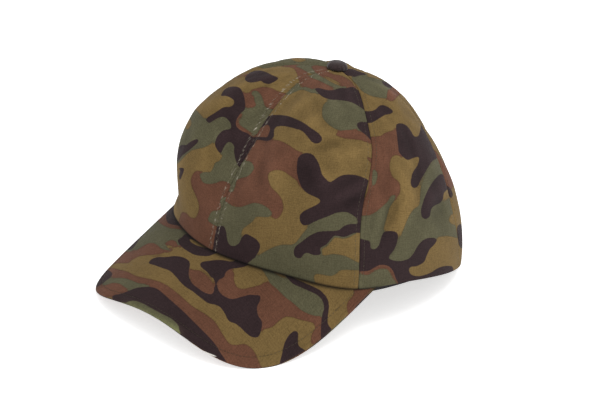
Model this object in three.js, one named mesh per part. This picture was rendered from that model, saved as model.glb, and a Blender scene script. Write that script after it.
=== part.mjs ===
import * as THREE from 'three';

// Six-panel cloth cap with a curved peak, a sweatband and a covered button.
// The floor is z = 0, the peak points along minus Y and the wearer's left is plus X.
// Lengths are in millimetres and turns are in degrees from the front seam.

// Head opening, measured to the outer face of the cloth.
const RIM_HALF_WIDTH = 90;
const RIM_FRONT = 93.5;
const RIM_REAR = 98;

// Crown.
const CROWN_HEIGHT = 137.6;
const APEX_BACK = 11.5;
const CLOTH = 1.5;
const GAP = 0.3;
const TIP_RADIUS = 3.6;
const PANEL_PUFF = 1.6;
const SEAM_DIP = 0.5;
const SEAM_HALF_WIDTH = 3;
const BODY_FOOT_SHARE = 0.42;
const BODY_TOP_SHARE = 0.25;

// Peak: one board covered with cloth, arched across and sloping to the front.
// Its root is the line across the front from which its length and fall are measured.
const PEAK_ROOT_Y = 94.7;
const PEAK_LENGTH = 59.2;
const PEAK_HALF_WIDTH = 88.2;
const PEAK_SQUARENESS = 3.7;
const PEAK_THICK = 3;
const PEAK_TURN = 66.7;
const PEAK_FALL = 23.8;
const PEAK_ARCH_RADIUS = 123.6;
const PEAK_ROOT_HEIGHT = 43.98;
const PEAK_EDGE_ROUND = 0.9;

// The hem falls from the end of the peak to the floor at this turn.
const HEM_LANDS_TURN = 150;
const HEM_FADE_TURN = 12;

// Sweatband inside the hem.
const BAND_THICK = 1.2;
const BAND_GAP = 0.42;
const BAND_WIDTH = 30;
const BAND_DROP = 3.3;
const BAND_DROP_END_TURN = 95;
const BAND_LIFT_REAR = 0.5;

// Covered button on the apex.
const BUTTON_RADIUS = 6.9;
const BUTTON_DOME = 4.9;
const BUTTON_SHANK_RADIUS = 3;
const BUTTON_SHANK_LENGTH = 3.4;
const BUTTON_TILT = 7;
const BUTTON_CLEAR = 0.45;

// Moves the finished cap so that its box is centred over the origin.
const BOX_CENTRE_Y = -28.04;

// How finely each surface is divided.
const PANEL_COLUMNS = 14;
const PANEL_ROWS = 20;
const PEAK_COLUMNS = 44;
const PEAK_ROWS = 9;
const BAND_COLUMNS = 72;
const BAND_ROWS = 4;

const DEGREE = Math.PI / 180;

// One row for each section of the crown, mirrored to the other side.
// rim: share of the opening's plain oval.
// lean: outward lean of the wall at the hem, in degrees.
// wall: share of the height held by the upright wall.
// slope: fall of the top beside the button, in degrees.
// top: share of the radius held by the flat top.
const SECTIONS = [
  { turn: 0, rim: 1.063, lean: -6.3, wall: 0.45, slope: -9, top: 0.57 },
  { turn: 30, rim: 1.05, lean: 4, wall: 0.74, slope: -4, top: 0.76 },
  { turn: 60, rim: 1.085, lean: 2, wall: 0.76, slope: -2.5, top: 0.7 },
  { turn: 90, rim: 1.07, lean: 3.5, wall: 0.6, slope: -4, top: 0.67 },
  { turn: 120, rim: 1.055, lean: 4, wall: 0.5, slope: -6, top: 0.5 },
  { turn: 150, rim: 1.01, lean: 1, wall: 0.48, slope: 0, top: 0.57 },
  { turn: 180, rim: 0.995, lean: 4, wall: 0.52, slope: 8, top: 0.52 },
];

// One row for each seam: its turn at the hem, at each quarter of the way up, and at the button.
const SEAMS = [
  { name: 'front', hem: 0, low: -0.2, middle: -0.2, high: -4.8, top: -18 },
  { name: 'front left', hem: 59.5, low: 60.2, middle: 67, high: 71.5, top: 86 },
  { name: 'rear left', hem: 117.5, low: 113.5, middle: 123.5, high: 156, top: 165 },
  { name: 'rear', hem: 180, low: 180, middle: 181, high: 190, top: 203 },
  { name: 'rear right', hem: 242.5, low: 240, middle: 239, high: 240, top: 243 },
  { name: 'front right', hem: 301, low: 297, middle: 293.5, high: 293.5, top: 284 },
  { name: 'front again', hem: 360, low: 359.8, middle: 359.8, high: 355.2, top: 342 },
];
const SEAM_PLACES = ['hem', 'low', 'middle', 'high', 'top'];

// One row for each panel, between one seam and the next round the cap.
const PANELS = [
  { node: 'front_left_panel', seam: 0 },
  { node: 'side_left_panel', seam: 1 },
  { node: 'rear_left_panel', seam: 2 },
  { node: 'rear_right_panel', seam: 3 },
  { node: 'side_right_panel', seam: 4 },
  { node: 'front_right_panel', seam: 5 },
];

// Soft dents and folds of the crown, one row for each.
// turn and up: where its middle is, in degrees and as a share of the way to the button.
// wide, long and out: half widths and how far it stands out, or in when it is negative,
// as shares of the opening's half width. lean: tilt from upright, in degrees.
const FOLDS = [
  { name: 'front left fold', turn: 24, up: 0.36, wide: 0.089, long: 0.289, lean: -14, out: 0.0122 },
  { name: 'front left hollow', turn: 36, up: 0.4, wide: 0.100, long: 0.289, lean: -14, out: -0.0133 },
  { name: 'side left fold', turn: 80, up: 0.3, wide: 0.089, long: 0.378, lean: 4, out: 0.0133 },
  { name: 'side left hollow', turn: 71, up: 0.26, wide: 0.078, long: 0.333, lean: 2, out: -0.0144 },
  { name: 'side left rear hollow', turn: 100, up: 0.24, wide: 0.100, long: 0.333, lean: -8, out: -0.0144 },
  { name: 'side left shoulder', turn: 108, up: 0.76, wide: 0.144, long: 0.189, lean: 30, out: 0.0222 },
  { name: 'rear left hollow', turn: 147, up: 0.44, wide: 0.200, long: 0.311, lean: -4, out: -0.0356 },
  { name: 'rear hollow', turn: 172, up: 0.3, wide: 0.133, long: 0.356, lean: -5, out: -0.0167 },
  { name: 'rear right fold', turn: 214, up: 0.34, wide: 0.100, long: 0.356, lean: 8, out: 0.0133 },
  { name: 'side right hollow', turn: 262, up: 0.34, wide: 0.111, long: 0.333, lean: -6, out: -0.0156 },
  { name: 'side right pinch', turn: 290, up: 0.3, wide: 0.089, long: 0.167, lean: 35, out: -0.0144 },
  { name: 'front right flat', turn: 306, up: 0.56, wide: 0.222, long: 0.244, lean: 10, out: -0.0133 },
];

// Length of a panel along its middle, for placing the folds.
const PANEL_LENGTH = 165;

function smooth(value) {
  const v = Math.min(1, Math.max(0, value));
  return v * v * (3 - 2 * v);
}

// Turn folded into the range from 0 to 180, since the sections are mirrored.
function foldedTurn(turn) {
  const t = ((turn % 360) + 360) % 360;
  return t > 180 ? 360 - t : t;
}

// Catmull-Rom curve from b to c at the share f, with a before it and d after it.
function curve(a, b, c, d, f) {
  const linear = (c - a) * f;
  const square = (2 * a - 5 * b + 4 * c - d) * f * f;
  const cube = (3 * b - a - 3 * c + d) * f * f * f;
  return 0.5 * (2 * b + linear + square + cube);
}

// Smooth value of one section column at any turn.
function sectionValue(column, turn) {
  const step = SECTIONS[1].turn - SECTIONS[0].turn;
  const last = SECTIONS.length - 1;
  const place = foldedTurn(turn) / step;
  const i = Math.min(last - 1, Math.floor(place));
  const f = place - i;
  const at = (k) => SECTIONS[k < 0 ? -k : k > last ? 2 * last - k : k][column];
  return curve(at(i - 1), at(i), at(i + 1), at(i + 2), f);
}

// Plan of the hem.
function rimPoint(turn) {
  const s = Math.sin(turn * DEGREE);
  const c = Math.cos(turn * DEGREE);
  const share = sectionValue('rim', turn);
  const half = c > 0 ? RIM_FRONT : RIM_REAR;
  return { x: RIM_HALF_WIDTH * s * share, y: -half * c * share };
}

// Height of the peak's top face over any point of the plan.
function peakHeight(x, y) {
  const reach = Math.min(Math.abs(x), 0.97 * PEAK_ARCH_RADIUS);
  const arch = PEAK_ARCH_RADIUS - Math.sqrt(PEAK_ARCH_RADIUS ** 2 - reach ** 2);
  return PEAK_ROOT_HEIGHT - Math.tan(PEAK_FALL * DEGREE) * (-y - PEAK_ROOT_Y) - arch;
}

// Height of the hem's lower edge.
function hemHeight(turn) {
  const t = foldedTurn(turn);
  const rim = rimPoint(turn);
  if (t <= PEAK_TURN) return peakHeight(rim.x, rim.y) + GAP;
  const end = rimPoint(PEAK_TURN);
  const start = peakHeight(end.x, end.y) + GAP;
  return start * (1 - smooth((t - PEAK_TURN) / (HEM_LANDS_TURN - PEAK_TURN)));
}

// Turn of a seam at a share of the way up. The curve runs straight on past both ends.
function seamTurn(seam, share) {
  const turns = SEAM_PLACES.map((place) => SEAMS[seam][place]);
  const last = turns.length - 1;
  const place = Math.min(1, Math.max(0, share)) * last;
  const i = Math.min(last - 1, Math.floor(place));
  const before = i === 0 ? 2 * turns[0] - turns[1] : turns[i - 1];
  const after = i === last - 1 ? 2 * turns[last] - turns[last - 1] : turns[i + 2];
  return curve(before, turns[i], turns[i + 1], after, place - i);
}

// Standing out of the cloth: panels swell between seams, seams sink, folds are added.
function relief(turn, share, radius) {
  const first = seamTurn(0, share);
  const t = first + ((((turn - first) % 360) + 360) % 360);
  let seam = 0;
  while (seam < SEAMS.length - 2 && t > seamTurn(seam + 1, share)) seam += 1;
  const from = seamTurn(seam, share);
  const to = seamTurn(seam + 1, share);
  const f = Math.min(1, Math.max(0, (t - from) / (to - from)));
  const near = Math.min(t - from, to - t) * DEGREE * radius;
  const body = smooth(share / BODY_FOOT_SHARE) * smooth((1 - share) / BODY_TOP_SHARE);
  let out = PANEL_PUFF * (4 * f * (1 - f) - 0.5) * body;
  out -= SEAM_DIP * Math.exp(-((near / SEAM_HALF_WIDTH) ** 2)) * body;
  for (const fold of FOLDS) {
    const apart = ((((turn - fold.turn + 180) % 360) + 360) % 360) - 180;
    const a = apart * DEGREE * radius;
    const b = (share - fold.up) * PANEL_LENGTH;
    const c = Math.cos(fold.lean * DEGREE);
    const s = Math.sin(fold.lean * DEGREE);
    const across = (a * c - b * s) / (fold.wide * RIM_HALF_WIDTH);
    const along = (a * s + b * c) / (fold.long * RIM_HALF_WIDTH);
    const size = fold.out * RIM_HALF_WIDTH * body;
    out += size * Math.exp(-across * across - along * along);
  }
  return out;
}

// Point of the crown at a turn and a share of the way from hem to button,
// set in from the outer face by the given depth.
function crownPoint(turn, share, depth) {
  const rim = rimPoint(turn);
  const foot = hemHeight(turn);
  const dx = rim.x;
  const dy = rim.y - APEX_BACK;
  const reach = Math.hypot(dx, dy);
  const height = CROWN_HEIGHT - foot;
  const handle = sectionValue('wall', turn) * height;
  const flat = sectionValue('top', turn) * reach;
  const lean = Math.tan(sectionValue('lean', turn) * DEGREE) * handle;
  const fall = Math.tan(sectionValue('slope', turn) * DEGREE) * flat;
  const r = [reach, reach + lean, flat, 0];
  const h = [0, handle, height - fall, height];
  const t = share * (1 - TIP_RADIUS / (3 * flat));
  const u = 1 - t;
  const w = [u * u * u, 3 * t * u * u, 3 * t * t * u, t * t * t];
  const g = [u * u, 2 * t * u, t * t];
  let radius = 0;
  let rise = 0;
  let radiusStep = 0;
  let riseStep = 0;
  for (let k = 0; k < 4; k += 1) {
    radius += w[k] * r[k];
    rise += w[k] * h[k];
  }
  for (let k = 0; k < 3; k += 1) {
    radiusStep += g[k] * (r[k + 1] - r[k]);
    riseStep += g[k] * (h[k + 1] - h[k]);
  }
  const length = Math.hypot(radiusStep, riseStep);
  // At the hem the cloth is set in level, so that the hem keeps its height.
  const level = smooth(share / 0.1);
  let outR = riseStep / length;
  let outH = (-radiusStep / length) * level;
  const outLength = Math.hypot(outR, outH);
  outR /= outLength;
  outH /= outLength;
  const move = relief(turn, share, radius) - depth;
  const newR = radius + outR * move;
  const x = (dx / reach) * newR;
  const y = APEX_BACK + (dy / reach) * newR;
  // Over the peak the hem's inner edge rides up with the peak's slope.
  const over = 1 - smooth((foldedTurn(turn) - PEAK_TURN) / HEM_FADE_TURN);
  const ride = (peakHeight(x, y) - peakHeight(rim.x, rim.y)) * over * (1 - level);
  return { x, y, z: foot + rise + outH * move + ride, radius };
}

// Closed body from a front grid and a back grid of the same size.
// The front grid's columns run anticlockwise seen from outside, its rows run away from the foot.
function sheetBody(front, back, flip) {
  const columns = front.length - 1;
  const rows = front[0].length - 1;
  const count = (columns + 1) * (rows + 1);
  const positions = [];
  for (const grid of [front, back]) {
    for (const column of grid) {
      for (const p of column) positions.push(p.x, p.y, p.z);
    }
  }
  const at = (i, j) => i * (rows + 1) + j;
  const faces = [];
  const quad = (a, b, c, d) => {
    if (flip) faces.push(a, c, b, a, d, c);
    else faces.push(a, b, c, a, c, d);
  };
  for (let i = 0; i < columns; i += 1) {
    for (let j = 0; j < rows; j += 1) {
      quad(at(i, j), at(i + 1, j), at(i + 1, j + 1), at(i, j + 1));
      quad(at(i, j) + count, at(i, j + 1) + count, at(i + 1, j + 1) + count, at(i + 1, j) + count);
    }
  }
  for (let i = 0; i < columns; i += 1) {
    quad(at(i + 1, 0), at(i, 0), at(i, 0) + count, at(i + 1, 0) + count);
    quad(at(i, rows), at(i + 1, rows), at(i + 1, rows) + count, at(i, rows) + count);
  }
  for (let j = 0; j < rows; j += 1) {
    quad(at(0, j), at(0, j + 1), at(0, j + 1) + count, at(0, j) + count);
    quad(at(columns, j + 1), at(columns, j), at(columns, j) + count, at(columns, j + 1) + count);
  }
  const geometry = new THREE.BufferGeometry();
  geometry.setAttribute('position', new THREE.Float32BufferAttribute(positions, 3));
  geometry.setIndex(faces);
  return geometry;
}

// Crown panel between two seams, with half the gap left at each.
function panelGeometry(seam) {
  const front = [];
  const back = [];
  for (let i = 0; i <= PANEL_COLUMNS; i += 1) {
    const even = i / PANEL_COLUMNS;
    const f = even - 0.05 * Math.sin(2 * Math.PI * even);
    const outer = [];
    const inner = [];
    for (let j = 0; j <= PANEL_ROWS; j += 1) {
      const share = j / PANEL_ROWS;
      const from = seamTurn(seam, share);
      const to = seamTurn(seam + 1, share);
      const radius = crownPoint((from + to) / 2, share, 0).radius;
      const margin = (0.56 * GAP) / radius / DEGREE;
      const turn = from + margin + (to - from - 2 * margin) * f;
      outer.push(crownPoint(turn, share, 0));
      inner.push(crownPoint(turn, share, CLOTH));
    }
    front.push(outer);
    back.push(inner);
  }
  return sheetBody(front, back, false);
}

// Peak: top face, rounded edge and underside.
function peakGeometry() {
  const end = rimPoint(PEAK_TURN);
  const tip = PEAK_ROOT_Y + PEAK_LENGTH + end.y;
  const top = [];
  const under = [];
  for (let i = 0; i <= PEAK_COLUMNS; i += 1) {
    const even = (2 * i) / PEAK_COLUMNS - 1;
    const u = even + 0.06 * Math.sin(Math.PI * even);
    const psi = (u * Math.PI) / 2;
    const power = 2 / PEAK_SQUARENESS;
    const rim = rimPoint(u * PEAK_TURN);
    const inward = Math.hypot(rim.x, rim.y - APEX_BACK);
    const inner = {
      x: rim.x * (1 - CLOTH / inward),
      y: rim.y - (rim.y - APEX_BACK) * (CLOTH / inward),
    };
    const outer = {
      x: PEAK_HALF_WIDTH * Math.sign(u) * Math.abs(Math.sin(psi)) ** power,
      y: end.y - tip * Math.max(0, Math.cos(psi)) ** power,
    };
    const topColumn = [];
    const underColumn = [];
    for (let j = 0; j <= PEAK_ROWS; j += 1) {
      const v = j / PEAK_ROWS;
      const x = inner.x + (outer.x - inner.x) * v;
      const y = inner.y + (outer.y - inner.y) * v;
      const z = peakHeight(x, y);
      const round = j === PEAK_ROWS ? PEAK_EDGE_ROUND : 0;
      topColumn.push({ x, y, z: z - round });
      underColumn.push({ x, y, z: z - PEAK_THICK + round });
    }
    top.push(topColumn);
    under.push(underColumn);
  }
  return sheetBody(top, under, true);
}

// Sweatband: a closed ring just inside the panels, hanging a little lower at the front.
function bandGeometry() {
  const outer = [];
  const inner = [];
  for (let i = 0; i < BAND_COLUMNS; i += 1) {
    const turn = (360 * i) / BAND_COLUMNS;
    const t = foldedTurn(turn);
    const away = smooth((t - PEAK_TURN) / (BAND_DROP_END_TURN - PEAK_TURN));
    const low = -BAND_DROP + (BAND_DROP + BAND_LIFT_REAR) * away;
    const foot = hemHeight(turn);
    const outerColumn = [];
    const innerColumn = [];
    for (let j = 0; j <= BAND_ROWS; j += 1) {
      const z = foot + low + ((BAND_WIDTH - low) * j) / BAND_ROWS;
      outerColumn.push(crownAtHeight(turn, z, CLOTH + BAND_GAP));
      innerColumn.push(crownAtHeight(turn, z, CLOTH + BAND_GAP + BAND_THICK));
    }
    outer.push(outerColumn);
    inner.push(innerColumn);
  }
  return ringBody(outer, inner);
}

// Point inside the crown wall at a given height, carried straight down below the hem.
function crownAtHeight(turn, z, depth) {
  let low = 0;
  let high = 0.6;
  const foot = crownPoint(turn, 0, depth);
  if (z <= foot.z) return { x: foot.x, y: foot.y, z };
  for (let k = 0; k < 30; k += 1) {
    const middle = (low + high) / 2;
    if (crownPoint(turn, middle, depth).z < z) low = middle;
    else high = middle;
  }
  const p = crownPoint(turn, (low + high) / 2, depth);
  return { x: p.x, y: p.y, z };
}

// Closed ring body from an outer and an inner wall.
function ringBody(outer, inner) {
  const columns = outer.length;
  const rows = outer[0].length - 1;
  const count = columns * (rows + 1);
  const positions = [];
  for (const grid of [outer, inner]) {
    for (const column of grid) {
      for (const p of column) positions.push(p.x, p.y, p.z);
    }
  }
  const at = (i, j) => (i % columns) * (rows + 1) + j;
  const faces = [];
  const quad = (a, b, c, d) => faces.push(a, b, c, a, c, d);
  for (let i = 0; i < columns; i += 1) {
    const k = i + 1;
    for (let j = 0; j < rows; j += 1) {
      quad(at(i, j), at(k, j), at(k, j + 1), at(i, j + 1));
      quad(at(i, j) + count, at(i, j + 1) + count, at(k, j + 1) + count, at(k, j) + count);
    }
    quad(at(k, 0), at(i, 0), at(i, 0) + count, at(k, 0) + count);
    quad(at(i, rows), at(k, rows), at(k, rows) + count, at(i, rows) + count);
  }
  const geometry = new THREE.BufferGeometry();
  geometry.setAttribute('position', new THREE.Float32BufferAttribute(positions, 3));
  geometry.setIndex(faces);
  return geometry;
}

// Button: a domed cap on a short shank that passes between the panel tips.
function buttonGeometry() {
  const profile = [new THREE.Vector2(0, -BUTTON_SHANK_LENGTH)];
  profile.push(new THREE.Vector2(BUTTON_SHANK_RADIUS, -BUTTON_SHANK_LENGTH));
  profile.push(new THREE.Vector2(BUTTON_SHANK_RADIUS, 0));
  profile.push(new THREE.Vector2(BUTTON_RADIUS - 0.8, 0));
  for (let k = 0; k <= 7; k += 1) {
    const a = (k / 7) * 90 * DEGREE;
    const x = BUTTON_RADIUS * Math.cos(a) ** 0.64;
    const y = 0.5 + (BUTTON_DOME - 0.5) * Math.sin(a);
    profile.push(new THREE.Vector2(k === 7 ? 0 : x, y));
  }
  const geometry = new THREE.LatheGeometry(profile, 28);
  geometry.rotateX(Math.PI / 2);
  geometry.rotateX(BUTTON_TILT * -DEGREE);
  geometry.translate(0, APEX_BACK, CROWN_HEIGHT + BUTTON_CLEAR);
  return geometry;
}

const cap = new THREE.Group();
cap.name = 'cap';

function add(name, geometry, colour) {
  geometry.translate(0, -BOX_CENTRE_Y, 0);
  const material = new THREE.MeshStandardMaterial({ color: colour, roughness: 0.9, metalness: 0 });
  material.name = name;
  const mesh = new THREE.Mesh(geometry, material);
  mesh.name = name;
  cap.add(mesh);
}

for (const panel of PANELS) add(panel.node, panelGeometry(panel.seam), 0x7a6545);
add('peak', peakGeometry(), 0x6b5a40);
add('sweatband', bandGeometry(), 0x1c1a1a);
add('button', buttonGeometry(), 0x2a2426);

export default cap;
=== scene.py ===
import math

import bpy
import numpy as np
from mathutils import Matrix


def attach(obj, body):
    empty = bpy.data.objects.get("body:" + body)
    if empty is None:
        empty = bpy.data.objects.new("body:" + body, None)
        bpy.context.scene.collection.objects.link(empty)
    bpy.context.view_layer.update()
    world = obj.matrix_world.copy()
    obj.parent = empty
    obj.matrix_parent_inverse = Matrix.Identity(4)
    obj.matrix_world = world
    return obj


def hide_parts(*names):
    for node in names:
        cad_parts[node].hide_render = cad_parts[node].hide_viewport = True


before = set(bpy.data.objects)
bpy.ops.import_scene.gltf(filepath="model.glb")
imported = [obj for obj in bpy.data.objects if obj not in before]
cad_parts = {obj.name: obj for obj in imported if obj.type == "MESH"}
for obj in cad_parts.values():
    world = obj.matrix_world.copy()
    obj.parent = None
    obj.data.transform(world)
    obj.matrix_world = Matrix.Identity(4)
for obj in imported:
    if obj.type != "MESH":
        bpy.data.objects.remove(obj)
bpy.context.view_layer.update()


# Camera. It looks down on the cap from the wearer's left front, rolled a little, and is
# set first because the camouflage below is charted in the picture's columns and rows.
BOX_CENTRE_Y = -28.04
CAMERA_AZIMUTH = 43.5
CAMERA_ELEVATION = 26.5
CAMERA_ROLL = 2.0
CAMERA_DISTANCE = 1490
PIXELS_PER_MM = 1.49
PICTURE_WIDTH = 600
PICTURE_MIDDLE = (300, 200)
AIM_ASIDE = -13.4
AIM_HEIGHT = 44.7
SENSOR_WIDTH = 36
MM = 0.001


def camera_frame():
    """Aim point and the camera's right, up and back: turned by the azimuth, raised by the
    elevation, then right and up are turned about back by the roll."""
    a = math.radians(CAMERA_AZIMUTH)
    e = math.radians(CAMERA_ELEVATION)
    r = math.radians(CAMERA_ROLL)
    back = np.array([math.sin(a) * math.cos(e), -math.cos(a) * math.cos(e), math.sin(e)])
    level = np.array([math.cos(a), math.sin(a), 0])
    rise = np.array([-math.sin(a) * math.sin(e), math.cos(a) * math.sin(e), math.cos(e)])
    aim = AIM_ASIDE * level + np.array([0, -BOX_CENTRE_Y, AIM_HEIGHT])
    right = math.cos(r) * level + math.sin(r) * rise
    up = math.cos(r) * rise - math.sin(r) * level
    return aim, right, up, back


def picture_place(points):
    """Column and row of the picture for points in millimetres: the distance along right or up
    from the aim, times the focal length in pixels, over the distance from the camera."""
    aim, right, up, back = camera_frame()
    away = points - aim
    depth = CAMERA_DISTANCE - away @ back
    focal = PIXELS_PER_MM * CAMERA_DISTANCE
    column = PICTURE_MIDDLE[0] + focal * (away @ right) / depth
    row = PICTURE_MIDDLE[1] - focal * (away @ up) / depth
    return np.stack([column, row], -1)


def add_object(name, data):
    thing = bpy.data.objects.new(name, data)
    bpy.context.scene.collection.objects.link(thing)
    return thing


def point_object(thing, axes, place):
    """Turns an object so that its three axes lie along the given ones, at a place in metres."""
    turned = Matrix(np.column_stack(axes).tolist()).to_4x4()
    turned.translation = place
    thing.matrix_world = turned


def set_camera():
    aim, right, up, back = camera_frame()
    data = bpy.data.cameras.new("camera")
    data.sensor_width = SENSOR_WIDTH
    data.lens = SENSOR_WIDTH * PIXELS_PER_MM * CAMERA_DISTANCE / PICTURE_WIDTH
    camera = add_object("camera", data)
    point_object(camera, [right, up, back], (aim + back * CAMERA_DISTANCE) * MM)
    bpy.context.scene.camera = camera


set_camera()


# Crown: six panels of printed cotton, cut as tall triangles and sewn edge to edge.
# Each is puffed a little between its seams, with the soft dents of a worn cap.
# Lengths are in millimetres, turns in degrees from the front seam towards the wearer's left.
RIM_HALF_WIDTH = 90
RIM_FRONT = 93.5
RIM_REAR = 98
CROWN_HEIGHT = 137.6
APEX_BACK = 11.5
CLOTH = 1.5
TIP_RADIUS = 3.6
PANEL_PUFF = 1.6
SEAM_DIP = 0.5
SEAM_HALF_WIDTH = 3
SEAM_GROOVE = 0.35
GROOVE_HALF_WIDTH = 0.5
SEAM_SLIT = 0.1
PUCKER = 0.16
PUCKER_PITCH = 6.5
PUCKER_REACH = 5
PUCKER_STARTS = 2
# Painted shade in the crease where the hem lies over the peak: how far up the cloth it reaches, how far
# past the peak's end it runs and the turn it fades over.
CREASE_SHADE_REACH = 0.9
CREASE_SHADE_PAST_PEAK = 4
CREASE_SHADE_FADE_TURN = 6
CRUMPLE_WAVES = 36
CRUMPLE_SEED = 7
CRUMPLE_LENGTHS = (11, 42)
CRUMPLE_SLOPE = 0.01
CRUMPLE_SPREAD = 0.7
CRUMPLE_BENDS = (4, 9)
CRUMPLE_BEND_LENGTHS = (14, 30)
CRUMPLE_STARTS = 9
# Reach in grid steps and height in millimetres of the measure of ridges and valleys, which the cloth's
# colour takes as painted highlight and painted shade.
RIDGE_REACH = 8
RIDGE_HEIGHT = 0.6
BODY_FOOT_SHARE = 0.42
BODY_TOP_SHARE = 0.25
SMOOTH_TIP_SHARE = 0.04
LEVEL_HEM_SHARE = 0.1
HEM_GAP = 0.3
HEM_LANDS_TURN = 150
HEM_FADE_TURN = 12
PEAK_TURN = 66.7
PEAK_ROOT_Y = 94.7
PEAK_FALL = 23.8
PEAK_ARCH_RADIUS = 123.6
PEAK_ROOT_HEIGHT = 43.98
PANEL_LENGTH = 165
PANEL_COLUMNS = 120
PANEL_ROWS = 170

# Sections of the crown round half the cap. rim: share of the plain oval. lean: outward lean
# at the hem. wall and top: shares of the height and radius that stay upright and flat.
# slope: fall of the top beside the button.
SECTION_COLUMNS = ("turn", "rim", "lean", "wall", "slope", "top")
SECTIONS = np.array([
    (0, 1.063, -6.3, 0.45, -9, 0.57),
    (30, 1.05, 4, 0.74, -4, 0.76),
    (60, 1.085, 2, 0.76, -2.5, 0.7),
    (90, 1.07, 3.5, 0.6, -4, 0.67),
    (120, 1.055, 4, 0.5, -6, 0.5),
    (150, 1.01, 1, 0.48, 0, 0.57),
    (180, 0.995, 4, 0.52, 8, 0.52),
])

# Seams: the turn of each at the hem, at every quarter of the way up, and at the button.
SEAMS = (
    ("front", 0, -0.2, -0.2, -4.8, -18),
    ("front left", 59.5, 60.2, 67, 71.5, 86),
    ("rear left", 117.5, 113.5, 123.5, 156, 165),
    ("rear", 180, 180, 181, 190, 203),
    ("rear right", 242.5, 240, 239, 240, 243),
    ("front right", 301, 297, 293.5, 293.5, 284),
    ("front again", 360, 359.8, 359.8, 355.2, 342),
)
SEAM_TURNS = np.array([row[1:] for row in SEAMS])

# Dents and folds: turn and share of the way up of the middle, half width and half length,
# tilt from upright and how far it stands out.
FOLDS = (
    ("front left fold", 24, 0.36, 8, 26, -14, 1.1),
    ("front left hollow", 36, 0.4, 9, 26, -14, -1.2),
    ("side left fold", 80, 0.3, 8, 34, 4, 1.2),
    ("side left hollow", 71, 0.26, 7, 30, 2, -1.3),
    ("side left rear hollow", 100, 0.24, 9, 30, -8, -1.3),
    ("side left shoulder", 108, 0.76, 13, 17, 30, 2),
    ("rear left hollow", 147, 0.44, 18, 28, -4, -3.2),
    ("rear hollow", 172, 0.3, 12, 32, -5, -1.5),
    ("rear right fold", 214, 0.34, 9, 32, 8, 1.2),
    ("side right hollow", 262, 0.34, 10, 30, -6, -1.4),
    ("side right pinch", 290, 0.3, 8, 15, 35, -1.3),
    ("front right flat", 306, 0.56, 20, 22, 10, -1.2),
    ("front valley low", 350.3, 0.11, 6, 18, -2, -1),
    ("front crease", 12, 0.5, 4, 20, -12, -0.5),
    ("front ridge", 10, 0.42, 5, 14, 5, 0.6),
    ("front slanting ridge", 55.8, 0.34, 4, 15, 63, 1),
    ("front slanting valley", 57.3, 0.3, 4, 12, 68, -1),
    ("front upper valley", 45.7, 0.54, 4.5, 14, 70, -0.9),
    ("front upper ridge", 55.4, 0.5, 5, 15, 75, 0.8),
    ("side valley", 71.9, 0.24, 4, 16, 30, -1.4),
    ("side ridge", 76.8, 0.21, 5, 15, 27, 0.8),
    ("side slanting hollow", 97.9, 0.23, 7, 20, 71, -1.2),
    ("side slanting ridge", 99, 0.31, 5, 18, 71, 0.9),
    ("side pucker", 70.1, 0.45, 1.7, 13, 3, 0.5),
    ("side pucker behind", 73, 0.47, 1.7, 11, 11, 0.45),
    ("side valley by the seam", 64, 0.2, 2.6, 9, 17, -0.7),
    ("side dip at the hem", 66.5, 0.06, 8, 9, -5, -1),
    ("side crease", 90, 0.46, 3.5, 24, 8, -0.6),
    ("rear crease", 150, 0.42, 4, 26, -10, 0.7),
    ("rear valley", 192, 0.3, 5, 22, 14, -1),
    ("rear right crease", 228, 0.36, 4, 24, 12, -0.7),
    ("rear right ridge", 222, 0.24, 5, 18, 40, 0.9),
    ("side right valley", 272, 0.28, 5, 20, -24, -1),
    ("side right ridge", 264, 0.3, 6, 18, -30, 0.9),
    ("front right valley", 322, 0.22, 5, 18, 20, -0.9),
)

# Tuck of the right side just above the hem, by the same columns, and the share it fades in over.
TUCK = ("front right tuck", 311, 0.06, 30, 17, 0, -4.5)
TUCK_FOOT_SHARE = 0.05


def smooth(value):
    """Smooth step: 3v squared less 2v cubed, with v held between 0 and 1."""
    v = np.clip(value, 0, 1)
    return v * v * (3 - 2 * v)


def folded_turn(turn):
    """A turn brought to 0 to 180, because the sections are the same on both sides."""
    return 180 - np.abs(np.mod(turn, 360) - 180)


def curve(a, b, c, d, f):
    """Catmull-Rom curve from b to c at the share f, with a before it and d after it."""
    square = (2 * a - 5 * b + 4 * c - d) * f * f
    cube = (3 * b - a - 3 * c + d) * f * f * f
    return 0.5 * (2 * b + (c - a) * f + square + cube)


def section_value(column, turn):
    """One section column at any turn, by a Catmull-Rom curve through the rows."""
    values = SECTIONS[:, SECTION_COLUMNS.index(column)]
    rows = np.concatenate([values[1:2], values, values[-2:-1]])
    place = folded_turn(turn) / SECTIONS[1, 0]
    i = np.minimum(len(SECTIONS) - 2, np.floor(place)).astype(int)
    f = place - i
    return curve(rows[i], rows[i + 1], rows[i + 2], rows[i + 3], f)


def rim_point(turn):
    """Plan of the hem: an oval of the opening's half lengths, times the section's share."""
    s = np.sin(np.radians(turn))
    c = np.cos(np.radians(turn))
    share = section_value("rim", turn)
    half = np.where(c > 0, RIM_FRONT, RIM_REAR)
    return RIM_HALF_WIDTH * s * share, -half * c * share


def peak_height(x, y):
    """Top of the peak over a point of the plan: the root's height, less the fall towards the
    front, less the drop of a circular arch across."""
    reach = np.minimum(np.abs(x), 0.97 * PEAK_ARCH_RADIUS)
    arch = PEAK_ARCH_RADIUS - np.sqrt(PEAK_ARCH_RADIUS**2 - reach**2)
    return PEAK_ROOT_HEIGHT - math.tan(math.radians(PEAK_FALL)) * (-y - PEAK_ROOT_Y) - arch


def hem_height(turn):
    """Hem: a small gap over the peak as far as its end, then down to the floor by a smooth step."""
    t = folded_turn(turn)
    over_peak = peak_height(*rim_point(turn)) + HEM_GAP
    start = peak_height(*rim_point(PEAK_TURN)) + HEM_GAP
    beside = start * (1 - smooth((t - PEAK_TURN) / (HEM_LANDS_TURN - PEAK_TURN)))
    return np.where(t <= PEAK_TURN, over_peak, beside)


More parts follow.
